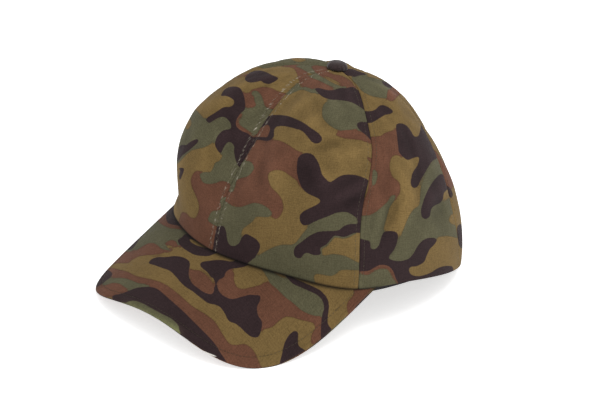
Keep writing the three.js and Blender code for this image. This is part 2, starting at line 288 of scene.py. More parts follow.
def seam_turn(seam, share):
    """Turn of a seam at a share of the way up, by a Catmull-Rom curve through its row that
    runs straight on past both ends."""
    before = 2 * SEAM_TURNS[:, 0] - SEAM_TURNS[:, 1]
    after = 2 * SEAM_TURNS[:, -1] - SEAM_TURNS[:, -2]
    rows = np.column_stack([before, SEAM_TURNS, after])
    last = SEAM_TURNS.shape[1] - 1
    place = np.clip(share, 0, 1) * last
    i = np.minimum(last - 1, np.floor(place)).astype(int)
    return curve(rows[seam, i], rows[seam, i + 1], rows[seam, i + 2], rows[seam, i + 3], place - i)


def seam_distance(turn, share, radius):
    """Share of the way across the panel, and the distance to the nearer seam."""
    first = seam_turn(0, share)
    t = first + np.mod(turn - first, 360)
    passed = sum((t > seam_turn(k, share)).astype(int) for k in range(1, 6))
    start = seam_turn(passed, share)
    end = seam_turn(passed + 1, share)
    across = np.clip((t - start) / (end - start), 0, 1)
    near = np.radians(np.minimum(t - start, end - t)) * radius
    return across, np.maximum(near, 0)


def fold_height(fold, turn, share, radius):
    """A bell along and across the fold: the exponent of less the two distances squared."""
    _, at_turn, up, wide, long, lean, stands = fold
    apart = np.mod(turn - at_turn + 180, 360) - 180
    a = np.radians(apart) * radius
    b = (share - up) * PANEL_LENGTH
    c = math.cos(math.radians(lean))
    s = math.sin(math.radians(lean))
    return stands * np.exp(-(((a * c - b * s) / wide) ** 2) - ((a * s + b * c) / long) ** 2)


def crumple(turn, share):
    """Soft crumples of washed cotton: a sum of equally steep, gently bent waves over the
    cloth, whose lengths, directions and phases are drawn at random with a fixed seed."""
    chance = np.random.default_rng(CRUMPLE_SEED)
    x = np.radians(turn) * RIM_HALF_WIDTH
    y = share * PANEL_LENGTH
    total = 0 * x
    for _ in range(CRUMPLE_WAVES):
        length = chance.uniform(*CRUMPLE_LENGTHS)
        heading = chance.normal(0, CRUMPLE_SPREAD)
        along = x * math.cos(heading) + y * math.sin(heading)
        bend = chance.uniform(*CRUMPLE_BENDS)
        bend = bend * np.sin(y / chance.uniform(*CRUMPLE_BEND_LENGTHS) + chance.uniform(0, 6))
        total = total + length * np.sin(2 * np.pi * (along + bend) / length + chance.uniform(0, 6))
    return CRUMPLE_SLOPE / math.sqrt(CRUMPLE_WAVES) * total


def relief(turn, share, radius):
    """How far the cloth stands out: a parabola between seams, bell-shaped dips and folds, a
    narrow groove along each seam, small puckers that die away from it, and crumples."""
    across, near = seam_distance(turn, share, radius)
    body = smooth(share / BODY_FOOT_SHARE) * smooth((1 - share) / BODY_TOP_SHARE)
    out = PANEL_PUFF * (4 * across * (1 - across) - 0.5) * body
    out = out - SEAM_DIP * np.exp(-((near / SEAM_HALF_WIDTH) ** 2)) * body
    for fold in FOLDS:
        out = out + fold_height(fold, turn, share, radius) * body
    out = out + fold_height(TUCK, turn, share, radius) * smooth(share / TUCK_FOOT_SHARE)
    groove = SEAM_GROOVE * np.exp(-((near / GROOVE_HALF_WIDTH) ** 2))
    wave = np.sin(2 * np.pi * share * PANEL_LENGTH / PUCKER_PITCH + 1.7 * np.sin(9 * share))
    pucker = PUCKER * wave * np.exp(-near / PUCKER_REACH) * smooth(near / PUCKER_STARTS)
    pucker = pucker + crumple(turn, share) * smooth(near / CRUMPLE_STARTS) * body
    return out + (pucker - groove) * smooth((1 - share) / SMOOTH_TIP_SHARE)


def crown_point(turn, share, depth):
    """Point of the crown. Its section is a cubic Bezier curve from the upright wall at the hem
    to the flat top by the button, moved along its own normal by the relief less the depth."""
    rim_x, rim_y = rim_point(turn)
    foot = hem_height(turn)
    dx = rim_x
    dy = rim_y - APEX_BACK
    reach = np.hypot(dx, dy)
    height = CROWN_HEIGHT - foot
    handle = section_value("wall", turn) * height
    flat = section_value("top", turn) * reach
    lean = np.tan(np.radians(section_value("lean", turn))) * handle
    fall = np.tan(np.radians(section_value("slope", turn))) * flat
    across = (reach, reach + lean, flat, 0)
    up = (0, handle, height - fall, height)
    t = share * (1 - TIP_RADIUS / (3 * flat))
    u = 1 - t
    weights = (u**3, 3 * t * u * u, 3 * t * t * u, t**3)
    steps = (u * u, 2 * t * u, t * t)
    radius = sum(weights[k] * across[k] for k in range(4))
    rise = sum(weights[k] * up[k] for k in range(4))
    radius_step = sum(steps[k] * (across[k + 1] - across[k]) for k in range(3))
    rise_step = sum(steps[k] * (up[k + 1] - up[k]) for k in range(3))
    length = np.hypot(radius_step, rise_step)
    level = smooth(share / LEVEL_HEM_SHARE)
    out_r = rise_step / length
    out_h = -radius_step / length * level
    out_length = np.hypot(out_r, out_h)
    move = (relief(turn, share, radius) - depth) / out_length
    new_radius = radius + out_r * move
    x = dx / reach * new_radius
    y = APEX_BACK + dy / reach * new_radius
    over = 1 - smooth((folded_turn(turn) - PEAK_TURN) / HEM_FADE_TURN)
    ride = (peak_height(x, y) - peak_height(rim_x, rim_y)) * over * (1 - level)
    return np.stack([x, y - BOX_CENTRE_Y, foot + rise + out_h * move + ride], -1), radius


def panel_turns(seam):
    """Turns and shares of a panel's grid. Columns crowd towards the two seams."""
    even = np.linspace(0, 1, PANEL_COLUMNS + 1)[:, None]
    across = even - 0.1 * np.sin(2 * np.pi * even)
    share = np.linspace(0, 1, PANEL_ROWS + 1)[None, :]
    start = seam_turn(seam, share)
    end = seam_turn(seam + 1, share)
    radius = crown_point((start + end) / 2, share, 0)[1]
    margin = np.degrees(SEAM_SLIT / radius)
    turn = start + margin + (end - start - 2 * margin) * across
    return turn, share + 0 * turn


def sheet_faces(columns, rows, flip=False):
    """Quads of a closed sheet: a front grid, a back grid and the four edges between them."""
    count = (columns + 1) * (rows + 1)
    at = np.arange(count).reshape(columns + 1, rows + 1)
    a, b, c, d = at[:-1, :-1], at[1:, :-1], at[1:, 1:], at[:-1, 1:]
    parts = [np.stack([a, b, c, d], -1).reshape(-1, 4)]
    parts.append(np.stack([a, d, c, b], -1).reshape(-1, 4) + count)
    low, high = at[:, 0], at[:, -1]
    first, last = at[0], at[-1]
    for line in (low[::-1], high, first, last[::-1]):
        back = line + count
        parts.append(np.stack([line[:-1], line[1:], back[1:], back[:-1]], -1))
    faces = np.concatenate(parts)
    return (faces[:, ::-1] if flip else faces).tolist()


def make_piece(name, points, faces, cloth_place, masks, material, nodes=(), sharp=55):
    """A mesh object from points in millimetres, with its place on the flat cloth as its UV map
    and its masks as attributes. Edges bent by more than the sharp angle, in degrees, show."""
    mesh = bpy.data.meshes.new(name)
    mesh.from_pydata((points * MM).tolist(), [], faces)
    corner = np.empty(len(mesh.loops), dtype=np.int32)
    mesh.loops.foreach_get("vertex_index", corner)
    layer = mesh.uv_layers.new(name="cloth")
    layer.uv.foreach_set("vector", (cloth_place * MM)[corner].astype(np.float32).ravel())
    for mask, values in masks.items():
        attribute = mesh.attributes.new(mask, "FLOAT", "POINT")
        attribute.data.foreach_set("value", np.asarray(values, dtype=np.float32).ravel())
    mesh.shade_smooth()
    if sharp:
        mesh.set_sharp_from_angle(angle=math.radians(sharp))
    mesh.materials.append(material)
    piece = add_object(name, mesh)
    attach(piece, "root")
    if nodes:
        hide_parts(*nodes)
    return piece


# The print: woodland camouflage of three inks on khaki cotton. Each row is a blot that shows in
# the picture: its ink, its name and the points round it as (column, row), joined by a smooth
# closed curve. Later blots lie over earlier ones, and a panel's edge cuts them off.
PRINT_ON_PANELS = {
    "front_right": (
        ("green", "shoulder", ((194, 109), (200, 114), (206, 120), (214, 122), (222, 117), (228, 119),
            (231, 125), (229, 129), (222, 132), (217, 138), (212, 143), (205, 147), (197, 149), (190, 151),
            (184, 157), (178, 163), (172, 164), (168, 150), (172, 136), (180, 124), (188, 112))),
        ("khaki", "shoulder chip", ((186, 128), (187, 120), (191, 120), (191, 125), (188, 129))),
        ("brown", "lower left", ((197, 171), (201, 172), (201, 178), (206, 184), (213, 184), (219, 182),
            (224, 182), (229, 185), (234, 192), (240, 200), (236, 215), (232, 235), (228, 262), (214, 257),
            (200, 249), (186, 242), (178, 232), (181, 214), (186, 213), (190, 217), (195, 218), (198, 213),
            (199, 205), (196, 196), (192, 187), (191, 180), (193, 174))),
        ("green", "branch", ((229, 143), (233, 144), (235, 149), (234, 155), (236, 160), (242, 163),
            (248, 168), (244, 177), (240, 182), (238, 188), (234, 192), (231, 189), (230, 184), (227, 182),
            (221, 181), (216, 183), (210, 184), (204, 183), (201, 179), (200, 174), (205, 172), (210, 172),
            (213, 168), (215, 163), (219, 161), (222, 157), (222, 151), (224, 146))),
        ("green", "low lobe", ((222, 198), (226, 197), (229, 200), (232, 206), (234, 212), (234, 225),
            (229, 232), (222, 227), (216, 226), (211, 223), (208, 220), (210, 214), (213, 211), (219, 210),
            (221, 206), (220, 201))),
        ("brown", "upper", ((243, 94), (247, 93), (251, 92), (253, 90), (258, 88), (264, 87), (271, 88),
            (277, 91), (288, 95), (284, 102), (278, 110), (271, 120), (262, 134), (257, 139), (250, 141),
            (240, 135), (232, 125), (236, 112), (240, 105))),
        ("green", "upper hand", ((253, 91), (257, 91), (261, 95), (263.5, 101), (265, 106), (269, 108.5),
            (274, 110), (271, 117), (266, 124), (260, 131), (255, 135), (250, 132), (245, 128.5),
            (240, 125), (239, 121), (242, 116.5), (243.5, 111), (248, 108), (253, 107.5), (256, 105),
            (254.5, 101), (254, 97), (251.5, 94))),
        ("black", "hook", ((221, 95), (224, 90), (229, 87), (235, 86.5), (240, 88), (243, 93), (245, 101),
            (245, 109), (241, 113), (238, 117), (236, 122), (237, 127), (242, 131), (247, 133), (253, 137),
            (259, 138), (256, 143), (251, 151), (247, 159), (240, 167), (236, 161), (234, 152), (234, 146),
            (230, 142), (226, 144), (223, 149), (221, 153), (218, 151), (215, 145), (216, 139), (219, 134),
            (224, 130), (230, 129), (231, 125), (229, 121), (226, 118), (222, 117), (218, 118), (213, 121),
            (209, 123), (206, 120), (208, 117), (213, 114), (219, 110), (224, 107), (229, 107), (233, 105),
            (234, 101), (231, 98), (226, 96), (222, 96))),
        ("black", "shoulder sliver", ((197, 139), (198, 142), (193, 147), (187, 152), (182, 156),
            (178, 161), (176, 157), (178, 150), (181, 145), (186, 145), (190, 142))),
        ("black", "side chip", ((179, 168), (183, 168), (184, 170), (182, 176), (180, 180), (179, 176),
            (180, 171))),
        ("black", "bean", ((245, 78), (248, 74), (254, 71), (260, 70.5), (266, 72), (272, 75), (277, 77),
            (278, 79), (274, 82), (269, 84), (264, 83), (261, 81), (256, 82), (250, 82.5), (246, 81))),
        ("brown", "rim sliver", ((213, 91), (218, 87), (226, 83), (234, 79), (240, 77), (246, 74),
            (242, 71), (233, 74), (223, 79), (215, 85))),
        ("brown", "top", ((281, 66), (293, 63), (306, 64), (306, 72), (309, 76), (318, 80), (306, 84),
            (299, 80), (297, 74), (293, 68))),
        ("green", "top", ((296, 66), (306, 64), (316, 66), (316, 71), (312, 74), (300, 68))),
        ("brown", "tip", ((312, 66), (323, 65), (328, 70), (318, 74), (313, 69))),
    ),
    "front_left": (
        ("brown", "top", ((281, 66), (293, 63), (306, 64), (304, 72), (309, 76), (318, 80), (328, 84),
            (333, 88), (325, 91), (312, 90), (303, 86), (299, 80), (295, 74), (291, 68))),
        ("green", "top", ((294, 64), (306, 64), (311, 66), (314, 71), (319, 75), (326, 79), (335, 84),
            (345, 88), (340, 90), (330, 86), (320, 81), (312, 78), (305, 73), (300, 68))),
        ("brown", "tip", ((312, 64), (323, 64), (326, 70), (333, 74), (342, 76), (352, 82), (354, 90),
            (346, 88), (338, 82), (328, 77), (318, 74), (313, 69))),
        ("green", "below the top", ((284, 92), (293, 87), (298, 83), (301, 87), (306, 87), (312, 89),
            (318, 92), (312, 93), (304, 90), (300, 90), (295, 92), (288, 95))),
        ("green", "oval", ((322, 112), (323, 106), (326, 102), (331, 100), (338, 100), (346, 101),
            (353, 103), (360, 107), (369, 110), (373, 118), (374, 127), (366, 131), (358, 129), (350, 130),
            (344, 131), (338, 130), (332, 127), (327, 123), (323, 118))),
        ("brown", "tongue", ((336, 134), (340, 131), (347, 130), (355, 130), (361, 131), (367, 136),
            (374, 139), (377, 145), (366, 142), (360, 140), (350, 139), (343, 138), (338, 136))),
        ("black", "upper sliver", ((315, 89), (319, 88), (327, 90), (333, 90), (340, 88), (346, 88),
            (353, 87), (360, 92), (366, 100), (370, 108), (368, 112), (360, 107), (353, 103), (346, 101),
            (338, 100), (330, 99.5), (323, 97), (318, 93))),
        ("black", "seam chip", ((357, 124), (360, 122), (364, 122), (370, 123), (376, 130), (377, 140),
            (371, 140), (367, 136), (362, 132), (358, 128))),
        ("brown", "large", ((238, 160), (243, 149), (250, 141), (258, 141), (266, 142), (271, 141),
            (276, 140), (283, 142), (290, 146), (296, 150), (301, 153), (298, 160), (297, 168), (299, 177),
            (302, 184), (305, 189), (296, 180), (289, 175), (283, 171), (276, 170), (270, 172), (268, 176),
            (269, 182), (272, 188), (277, 193), (281, 198), (283, 204), (283, 210), (280, 216), (276, 219),
            (272, 216), (270, 211), (267, 207), (260, 204), (252, 203), (245, 205), (238, 206), (233, 204),
            (228, 210), (220, 200), (228, 185), (234, 170))),
        ("brown", "pocket", ((262, 126), (266, 125), (269, 128), (270, 132), (267, 136), (262, 137),
            (252, 137), (254, 131))),
        ("black", "arc", ((262, 119), (266, 117), (272, 115), (280, 115), (288, 116), (296, 119),
            (304, 123), (311, 128), (317, 132), (321, 136), (322, 140), (319, 143), (315, 143.5),
            (311, 141),
            (307, 136), (302, 131), (296, 129), (289, 127), (282, 126), (276, 127), (274, 131), (274, 136),
            (271, 140), (266, 141), (258, 140), (247, 143), (246, 137), (262, 137), (267, 137), (269, 133),
            (270, 128), (268, 125), (264, 126), (252, 133))),
        ("black", "seam sliver", ((246, 139), (256, 140), (252, 147), (248, 154), (243, 162), (239, 167),
            (234, 165), (240, 150))),
        ("green", "seam lobe", ((232, 168), (243, 162), (248, 161), (252, 163), (254, 168), (252, 172),
            (248, 176), (242, 178), (237, 180), (235, 187), (232, 192), (224, 188), (226, 178))),
        ("green", "low left", ((220, 200), (228, 203), (233, 206), (240, 207), (247, 205), (253, 203),
            (259, 203.5), (265, 206), (270, 210), (272, 214), (269, 217), (262, 217), (256, 217),
            (253, 221),
            (248, 225), (243, 229), (241, 235), (239, 242), (234, 246), (229, 244), (227, 238), (226, 230),
            (222, 225), (214, 229), (212, 215))),
        ("black", "low left", ((214, 228), (223, 226), (226, 231), (227, 238), (229, 244), (234, 246),
            (239, 243), (242, 237), (246, 234), (251, 236), (257, 240), (260, 245), (259, 251), (256, 256),
            (251, 265), (244, 270), (238, 266), (226, 262), (206, 254), (210, 242), (212, 234))),
        ("green", "long", ((246, 266), (264, 252), (280, 245), (294, 244), (303, 233), (313, 223),
            (328, 216), (344, 212), (353, 216), (358, 222), (358, 230), (340, 240), (322, 250), (324, 255),
            (333, 254), (345, 256), (355, 261), (363, 265), (363, 270), (342, 270), (336, 274), (330, 276),
            (318, 274), (314, 277), (316, 292), (300, 288), (280, 280), (260, 274))),
        ("khaki", "pocket", ((321, 250), (326, 245), (331, 239), (335, 236), (342, 237), (348, 236),
            (353, 234), (366, 233), (366, 250), (364, 262), (351, 258), (342, 255), (333, 254),
            (325, 255.5),
            (321, 254))),
        ("black", "low middle", ((294, 250), (296, 246), (300, 243), (305, 239), (311, 235), (318, 232),
            (326, 231), (333, 231), (339, 230), (344, 226), (350, 224), (356, 224), (366, 224), (366, 232),
            (355, 233), (350, 235), (344, 237), (338, 236), (334, 236), (331, 239), (327, 244), (322, 247),
            (320, 249), (321, 253), (319, 255), (313, 255), (308, 253), (304, 254), (301, 258), (297, 258),
            (294, 255))),
        ("black", "centre", ((297, 165), (298, 158), (302, 154), (308, 153), (313, 155), (317, 160),
            (320, 167), (322, 174), (326, 179), (330, 182), (334, 180), (340, 176), (347, 174.5),
            (355, 175),
            (362, 177), (368, 180), (371, 186), (371, 197), (367, 205), (366, 215), (366, 229), (358, 227),
            (357, 219), (349, 213), (343, 212), (336, 213), (329, 216), (321, 219), (314, 222), (308, 225),
            (303, 225), (300, 221), (300, 215), (304, 211), (310, 208), (316, 205), (320, 202), (319, 199),
            (313, 196), (307, 193), (302, 188), (299, 181), (297, 173))),
        ("brown", "seam chip", ((367, 157), (371, 158), (378, 158), (378, 168), (370, 162))),
    ),
    "side_left": (
        ("black", "top", ((340, 66), (350, 68), (358, 71), (366, 74), (362, 76), (356, 77), (350, 76),
            (343, 74))),
        ("khaki", "top chip", ((343, 66), (347, 66), (347, 70), (344, 70))),
        ("green", "top", ((352, 79), (358, 76), (364, 75), (370, 77), (378, 79), (386, 82), (393, 85),
            (389, 92), (387, 98), (382, 98), (376, 97), (369, 95), (362, 91), (357, 85))),
        ("brown", "shoulder", ((389, 88), (394, 84), (401, 88), (402, 92), (397, 97), (393, 101),
            (388, 100), (387, 95))),
        ("black", "shoulder", ((361, 112), (371, 111), (376, 109), (379, 106), (383, 105), (388, 107),
            (392, 110), (393, 112), (390, 114), (385, 115), (380, 118), (375, 121), (370, 123),
            (363, 121))),
        ("black", "top sliver", ((382, 81), (388, 83), (393, 86), (390, 88), (384, 85))),
        ("brown", "middle", ((368, 138), (380, 136), (385, 133), (391, 131), (396, 130), (397, 138),
            (398, 147), (400, 152), (401, 156), (396, 155), (392, 157), (390, 162), (390, 170), (393, 177),
            (398, 181), (400, 185), (400, 192), (398, 196), (394, 199), (388, 201), (382, 206), (376, 211),
            (370, 214), (358, 218), (361, 205), (367, 193), (369, 180), (368, 160), (368, 148))),
        ("green", "seam sliver", ((373, 170), (377, 172), (377.5, 176), (376.5, 181), (374.5, 185),
            (372, 184))),
        ("black", "fork", ((396, 128), (397, 124), (402, 123.5), (407, 126), (411, 131), (414, 136),
            (418, 136), (420, 131), (421, 124), (422, 120), (430, 126), (434, 138), (440, 148), (444, 156),
            (434, 160), (429, 166), (425, 173), (421, 180), (418, 186), (414, 188), (411, 185), (411, 179),
            (413, 172), (417, 166), (419, 160), (418, 157), (413, 158), (408, 160), (403, 157), (399, 152),
            (398, 145), (397, 136))),
        ("green", "middle", ((358, 217), (370, 215), (377, 211), (383, 206), (388, 201), (391, 196),
            (395.5, 195.5), (394, 201), (390, 207), (388, 213), (386, 220), (384, 228), (382, 237),
            (379, 245),
            (375, 249), (371, 248), (370, 241), (366, 240), (354, 239), (356, 228))),
        ("green", "rear", ((390, 258), (395, 250), (399, 240), (404, 228), (408, 218), (413, 210),
            (419, 205), (420, 196), (421, 186), (424, 178), (428, 170), (433, 163), (440, 156), (446, 162),
            (446, 172), (437, 178), (432, 184), (428, 192), (424, 200), (422, 210), (424, 218), (428, 217),
            (431, 209), (436, 205), (443, 202), (449, 198), (458, 196), (460, 204), (455, 212), (451, 215),
            (449, 220), (452, 224), (460, 227), (463, 232), (460, 238), (448, 236), (438, 237), (430, 238),
            (423, 240), (418, 246), (413, 253), (408, 258), (400, 261), (392, 260))),
        ("black", "rear", ((441, 174), (448, 178), (449, 187), (444, 193), (443, 199), (440, 203),
            (434, 206), (431, 210), (430, 216), (426, 219), (422, 217), (421, 210), (423, 202), (426, 194),
            (430, 186), (435, 179))),
        ("brown", "hem line", ((353, 270), (366, 271), (371, 269), (377, 266), (384, 264), (390, 266),
            (394, 271), (397, 278), (402, 287), (398, 292), (394, 279), (390, 270), (385, 268), (378, 269),
            (372, 272), (367, 274), (353, 274))),
        ("green", "hem", ((352, 275), (367, 275), (373, 272), (379, 269), (386, 269), (390, 273),
            (393, 279), (397, 286), (396, 296), (375, 298), (350, 298))),
        ("black", "hem", ((353, 239), (366, 240), (370, 242), (371, 248), (375, 249), (379, 245),
            (381, 238), (384, 232), (390, 231), (396, 232), (398, 236), (397, 243), (394, 250), (389, 257),
            (392, 260), (400, 261), (408, 259), (413, 254), (417, 247), (422, 241), (428, 238), (434, 238),
            (437, 240), (434, 245), (430, 249), (427, 255), (424, 262), (417, 266), (411, 267), (409, 270),
            (412, 275), (420, 276), (430, 273), (438, 268), (445, 266), (450, 266), (453, 268), (452, 280),
            (430, 288), (412, 292), (403, 290), (396, 279), (393, 271), (388, 266), (380, 265), (372, 269),
            (367, 271), (352, 270), (352, 255))),
    ),
    "rear_left": (
        ("brown", "seam", ((434, 150), (441, 158), (448, 170), (454, 184), (448, 188), (443, 178),
            (438, 165))),
        ("black", "chip", ((446, 186), (450, 188), (453, 194), (451, 198), (448, 194))),
        ("black", "hem", ((457, 228), (461, 224), (466, 230), (466, 248), (460, 247), (458, 240))),
        ("black", "shoulder", ((406, 96), (414, 100), (416, 108), (411, 105))),
    ),
    "side_right": (
        ("green", "top", ((250, 62), (270, 56), (295, 54), (325, 56), (335, 66), (300, 69), (270, 70))),
        ("khaki", "top chip", ((290, 58), (300, 57), (306, 60), (298, 62))),
        ("brown", "front tip", ((168, 164), (177, 164), (179, 172), (172, 174))),
    ),
}
INKS = ("brown", "green", "black")

# In pixels of the picture: how far from its edge a blot is measured, how far a lower ink runs in
# under an upper one, and how narrow a gap between two inks is closed.
BLOT_REACH = 8
INK_OVERLAP = 0.6
INK_BRIDGE = 1.6
CURVE_STEPS = 4
TURNED_AWAY = 0.15

# Panels: name, first seam, the panel whose print is repeated where this one turns away from the
# camera, and whether that is turned over. Then the cut before sewing, in metres and square
# metres: width across the hem, length from hem to tip and flat area.
PANELS = (
    ("front_left", 0, "front_left", False, 0.105, 0.172, 0.0127),
    ("side_left", 1, "side_left", False, 0.108, 0.180, 0.0125),
    ("rear_left", 2, "front_left", False, 0.108, 0.180, 0.0113),
    ("rear_right", 3, "side_left", True, 0.106, 0.175, 0.0114),
    ("side_right", 4, "front_left", True, 0.108, 0.170, 0.0118),
    ("front_right", 5, "side_left", False, 0.105, 0.172, 0.0122),
)


def closed_curve(outline):
    """Closed Catmull-Rom curve through the points of a blot's outline."""
    b = np.array(outline, dtype=float)
    a, c, d = np.roll(b, 1, 0), np.roll(b, -1, 0), np.roll(b, -2, 0)
    f = (np.arange(CURVE_STEPS) / CURVE_STEPS)[None, :, None]
    a, b, c, d = (p[:, None, :] for p in (a, b, c, d))
    return curve(a, b, c, d, f).reshape(-1, 2)


def inside_distance(places, outline):
    """Distance from each place to a closed outline, above 0 inside and below 0 outside. A place
    is inside where a line to its right crosses the outline an odd number of times."""
    edge = closed_curve(outline)
    near = np.all((places > edge.min(0) - BLOT_REACH) & (places < edge.max(0) + BLOT_REACH), axis=1)
    distance = np.full(len(places), -float(BLOT_REACH))
    p = places[near][:, None, :]
    start = edge[None]
    step = (np.roll(edge, -1, 0) - edge)[None]
    along = np.clip(((p - start) * step).sum(-1) / np.maximum((step**2).sum(-1), 1e-9), 0, 1)
    gap = np.sqrt((((start + along[..., None] * step) - p) ** 2).sum(-1)).min(1)
    above = start[..., 1] > p[..., 1]
    crosses = above != np.roll(above, -1, 1)
    rows_down = np.where(step[..., 1] == 0, 1e-9, step[..., 1])
    reach = start[..., 0] + (p[..., 1] - start[..., 1]) * step[..., 0] / rows_down
    odd = (crosses & (p[..., 0] < reach)).sum(1) % 2 == 1
    distance[near] = np.clip(np.where(odd, gap, -gap), -BLOT_REACH, BLOT_REACH)
    return distance


def fold_shading_mask(height):
    """How far each point of a grid stands above the mean of the four a few steps away, as a share
    of a ridge's height, from -1 in a valley to 1 on a ridge. The cloth takes it as painted
    highlight on ridges and painted shade in valleys."""
    r = RIDGE_REACH
    wide = np.pad(height, r, mode="edge")
    around = wide[: -2 * r, r:-r] + wide[2 * r:, r:-r] + wide[r:-r, : -2 * r] + wide[r:-r, 2 * r:]
    return np.clip((height - around / 4) / RIDGE_HEIGHT, -1, 1)


def print_inks(places, chart):
    """Depth inside each ink, in millimetres: every blot raises its own ink to its inside
    distance and cuts the others down to the outside distance. Where two inks nearly meet, the
    lower one runs across the narrow gap and in under the upper one."""
    depth = {ink: np.full(len(places), -float(BLOT_REACH)) for ink in INKS}
    for ink, _, outline in chart:
        inside = inside_distance(places, outline)
        for other in INKS:
            if other == ink:
                depth[ink] = np.maximum(depth[ink], inside)
            else:
                below = ink != "khaki" and INKS.index(other) < INKS.index(ink)
                depth[other] = np.minimum(depth[other], (INK_OVERLAP if below else 0) - inside)
    for lower, upper in (("brown", "green"), ("brown", "black"), ("green", "black")):
        between = np.minimum(depth[lower], depth[upper]) + INK_BRIDGE
        depth[lower] = np.maximum(depth[lower], between)
    return {ink: depth[ink] / PIXELS_PER_MM for ink in INKS}


def facing_camera(grid):
    """How squarely a grid faces the camera: its unit normal times the camera's back."""
    across = np.gradient(grid, axis=0)
    along = np.gradient(grid, axis=1)
    normal = np.cross(across, along)
    normal /= np.maximum(np.linalg.norm(normal, axis=-1, keepdims=True), 1e-9)
    return normal @ camera_frame()[3]


def blended_inks(grid, chart, other_grid, other_chart):
    """Own print where the grid faces the camera, the other panel's where it turns away."""
    own = print_inks(picture_place(grid.reshape(-1, 3)), chart)
    other = print_inks(picture_place(other_grid.reshape(-1, 3)), other_chart)
    seen = smooth(facing_camera(grid) / TURNED_AWAY).ravel()
    return {ink: own[ink] * seen + other[ink] * (1 - seen) for ink in INKS}


def add_node(tree, kind, feeds=None, **settings):
    """Adds a node. feeds maps an input's name or number to a socket or a value."""
    node = tree.nodes.new(kind)
    for name, value in settings.items():
        setattr(node, name, value)
    for key, value in (feeds or {}).items():
        if isinstance(value, bpy.types.NodeSocket):
            tree.links.new(value, node.inputs[key])
        else:
            node.inputs[key].default_value = value
    return node


def maths(tree, operation, first, second=0.0, third=0.0):
    feeds = {0: first, 1: second, 2: third}
    return add_node(tree, "ShaderNodeMath", feeds, operation=operation).outputs[0]


def mix_colour(tree, amount, first, second, blend="MIX"):
    """Mixes two colours, which a mix node takes on its sockets 6 and 7."""
    feeds = {"Factor": amount, 6: first, 7: second}
    settings = {"data_type": "RGBA", "blend_type": blend, "clamp_factor": True}
    return add_node(tree, "ShaderNodeMix", feeds, **settings).outputs[2]


def read_mask(tree, name):
    return add_node(tree, "ShaderNodeAttribute", attribute_name=name).outputs["Fac"]


def cloth_place_of(tree):
    return add_node(tree, "ShaderNodeUVMap", uv_map="cloth").outputs[0]


def object_place_of(tree):
    return add_node(tree, "ShaderNodeTexCoord").outputs["Object"]


def stretch_place(tree, place, factors):
    """A place with each axis multiplied by its own factor."""
    feeds = {0: place, 1: factors}
    return add_node(tree, "ShaderNodeVectorMath", feeds, operation="MULTIPLY").outputs[0]


def add_noise(tree, place, scale, detail):
    feeds = {"Vector": place, "Scale": scale, "Detail": detail}
    return add_node(tree, "ShaderNodeTexNoise", feeds).outputs[0]


def swing(tree, noise, amount):
    """A noise about a half turned into one about nought: less a half, times the amount."""
    return maths(tree, "MULTIPLY", maths(tree, "SUBTRACT", noise, 0.5), amount)


def map_range(tree, value, low, high, to_low=0.0, to_high=1.0, way="LINEAR"):
    feeds = {"Value": value, "From Min": low, "From Max": high, "To Min": to_low, "To Max": to_high}
    return add_node(tree, "ShaderNodeMapRange", feeds, interpolation_type=way).outputs[0]


def finish_shader(tree, shader, colour, height, strength, distance):
    """Feeds a shader its colour, and its normal from a bump of the height."""
    feeds = {"Height": height, "Strength": strength, "Distance": distance}
    tree.links.new(add_node(tree, "ShaderNodeBump", feeds).outputs[0], shader.inputs["Normal"])
    tree.links.new(colour, shader.inputs["Base Color"])


def new_group(name, inputs, outputs):
    """An empty node group with named inputs as (name, kind, value) and outputs as (name, kind)."""
    group = bpy.data.node_groups.new(name, "ShaderNodeTree")
    for label, kind, value in inputs:
        socket = group.interface.new_socket(name=label, in_out="INPUT", socket_type=kind)
        socket.default_value = value
    for label, kind in outputs:
        group.interface.new_socket(name=label, in_out="OUTPUT", socket_type=kind)
    given = group.nodes.new("NodeGroupInput").outputs
    return group, given, group.nodes.new("NodeGroupOutput").inputs


KHAKI = (0.156, 0.101, 0.0365, 1)
BROWN = (0.119, 0.0515, 0.0305, 1)
GREEN = (0.088, 0.081, 0.045, 1)
BLACK = (0.029, 0.017, 0.018, 1)
INK_EDGE_TINT = (0.42, 0.38, 0.36, 1)
PALE_THREAD = (0.55, 0.5, 0.4, 1)
PALE_INSIDE = (0.2, 0.165, 0.11, 1)
# Multiplier of the painted light on the peak's front edge.
PAINTED_EDGE_LIGHT_TINT = (2.3, 2.6, 2.0, 1)
# Near-black of the painted shade in the crease between crown and peak.
CREASE_SHADE_COLOUR = (0.006, 0.005, 0.005, 1)
FRAYED_WHITE = (0.75, 0.72, 0.66, 1)


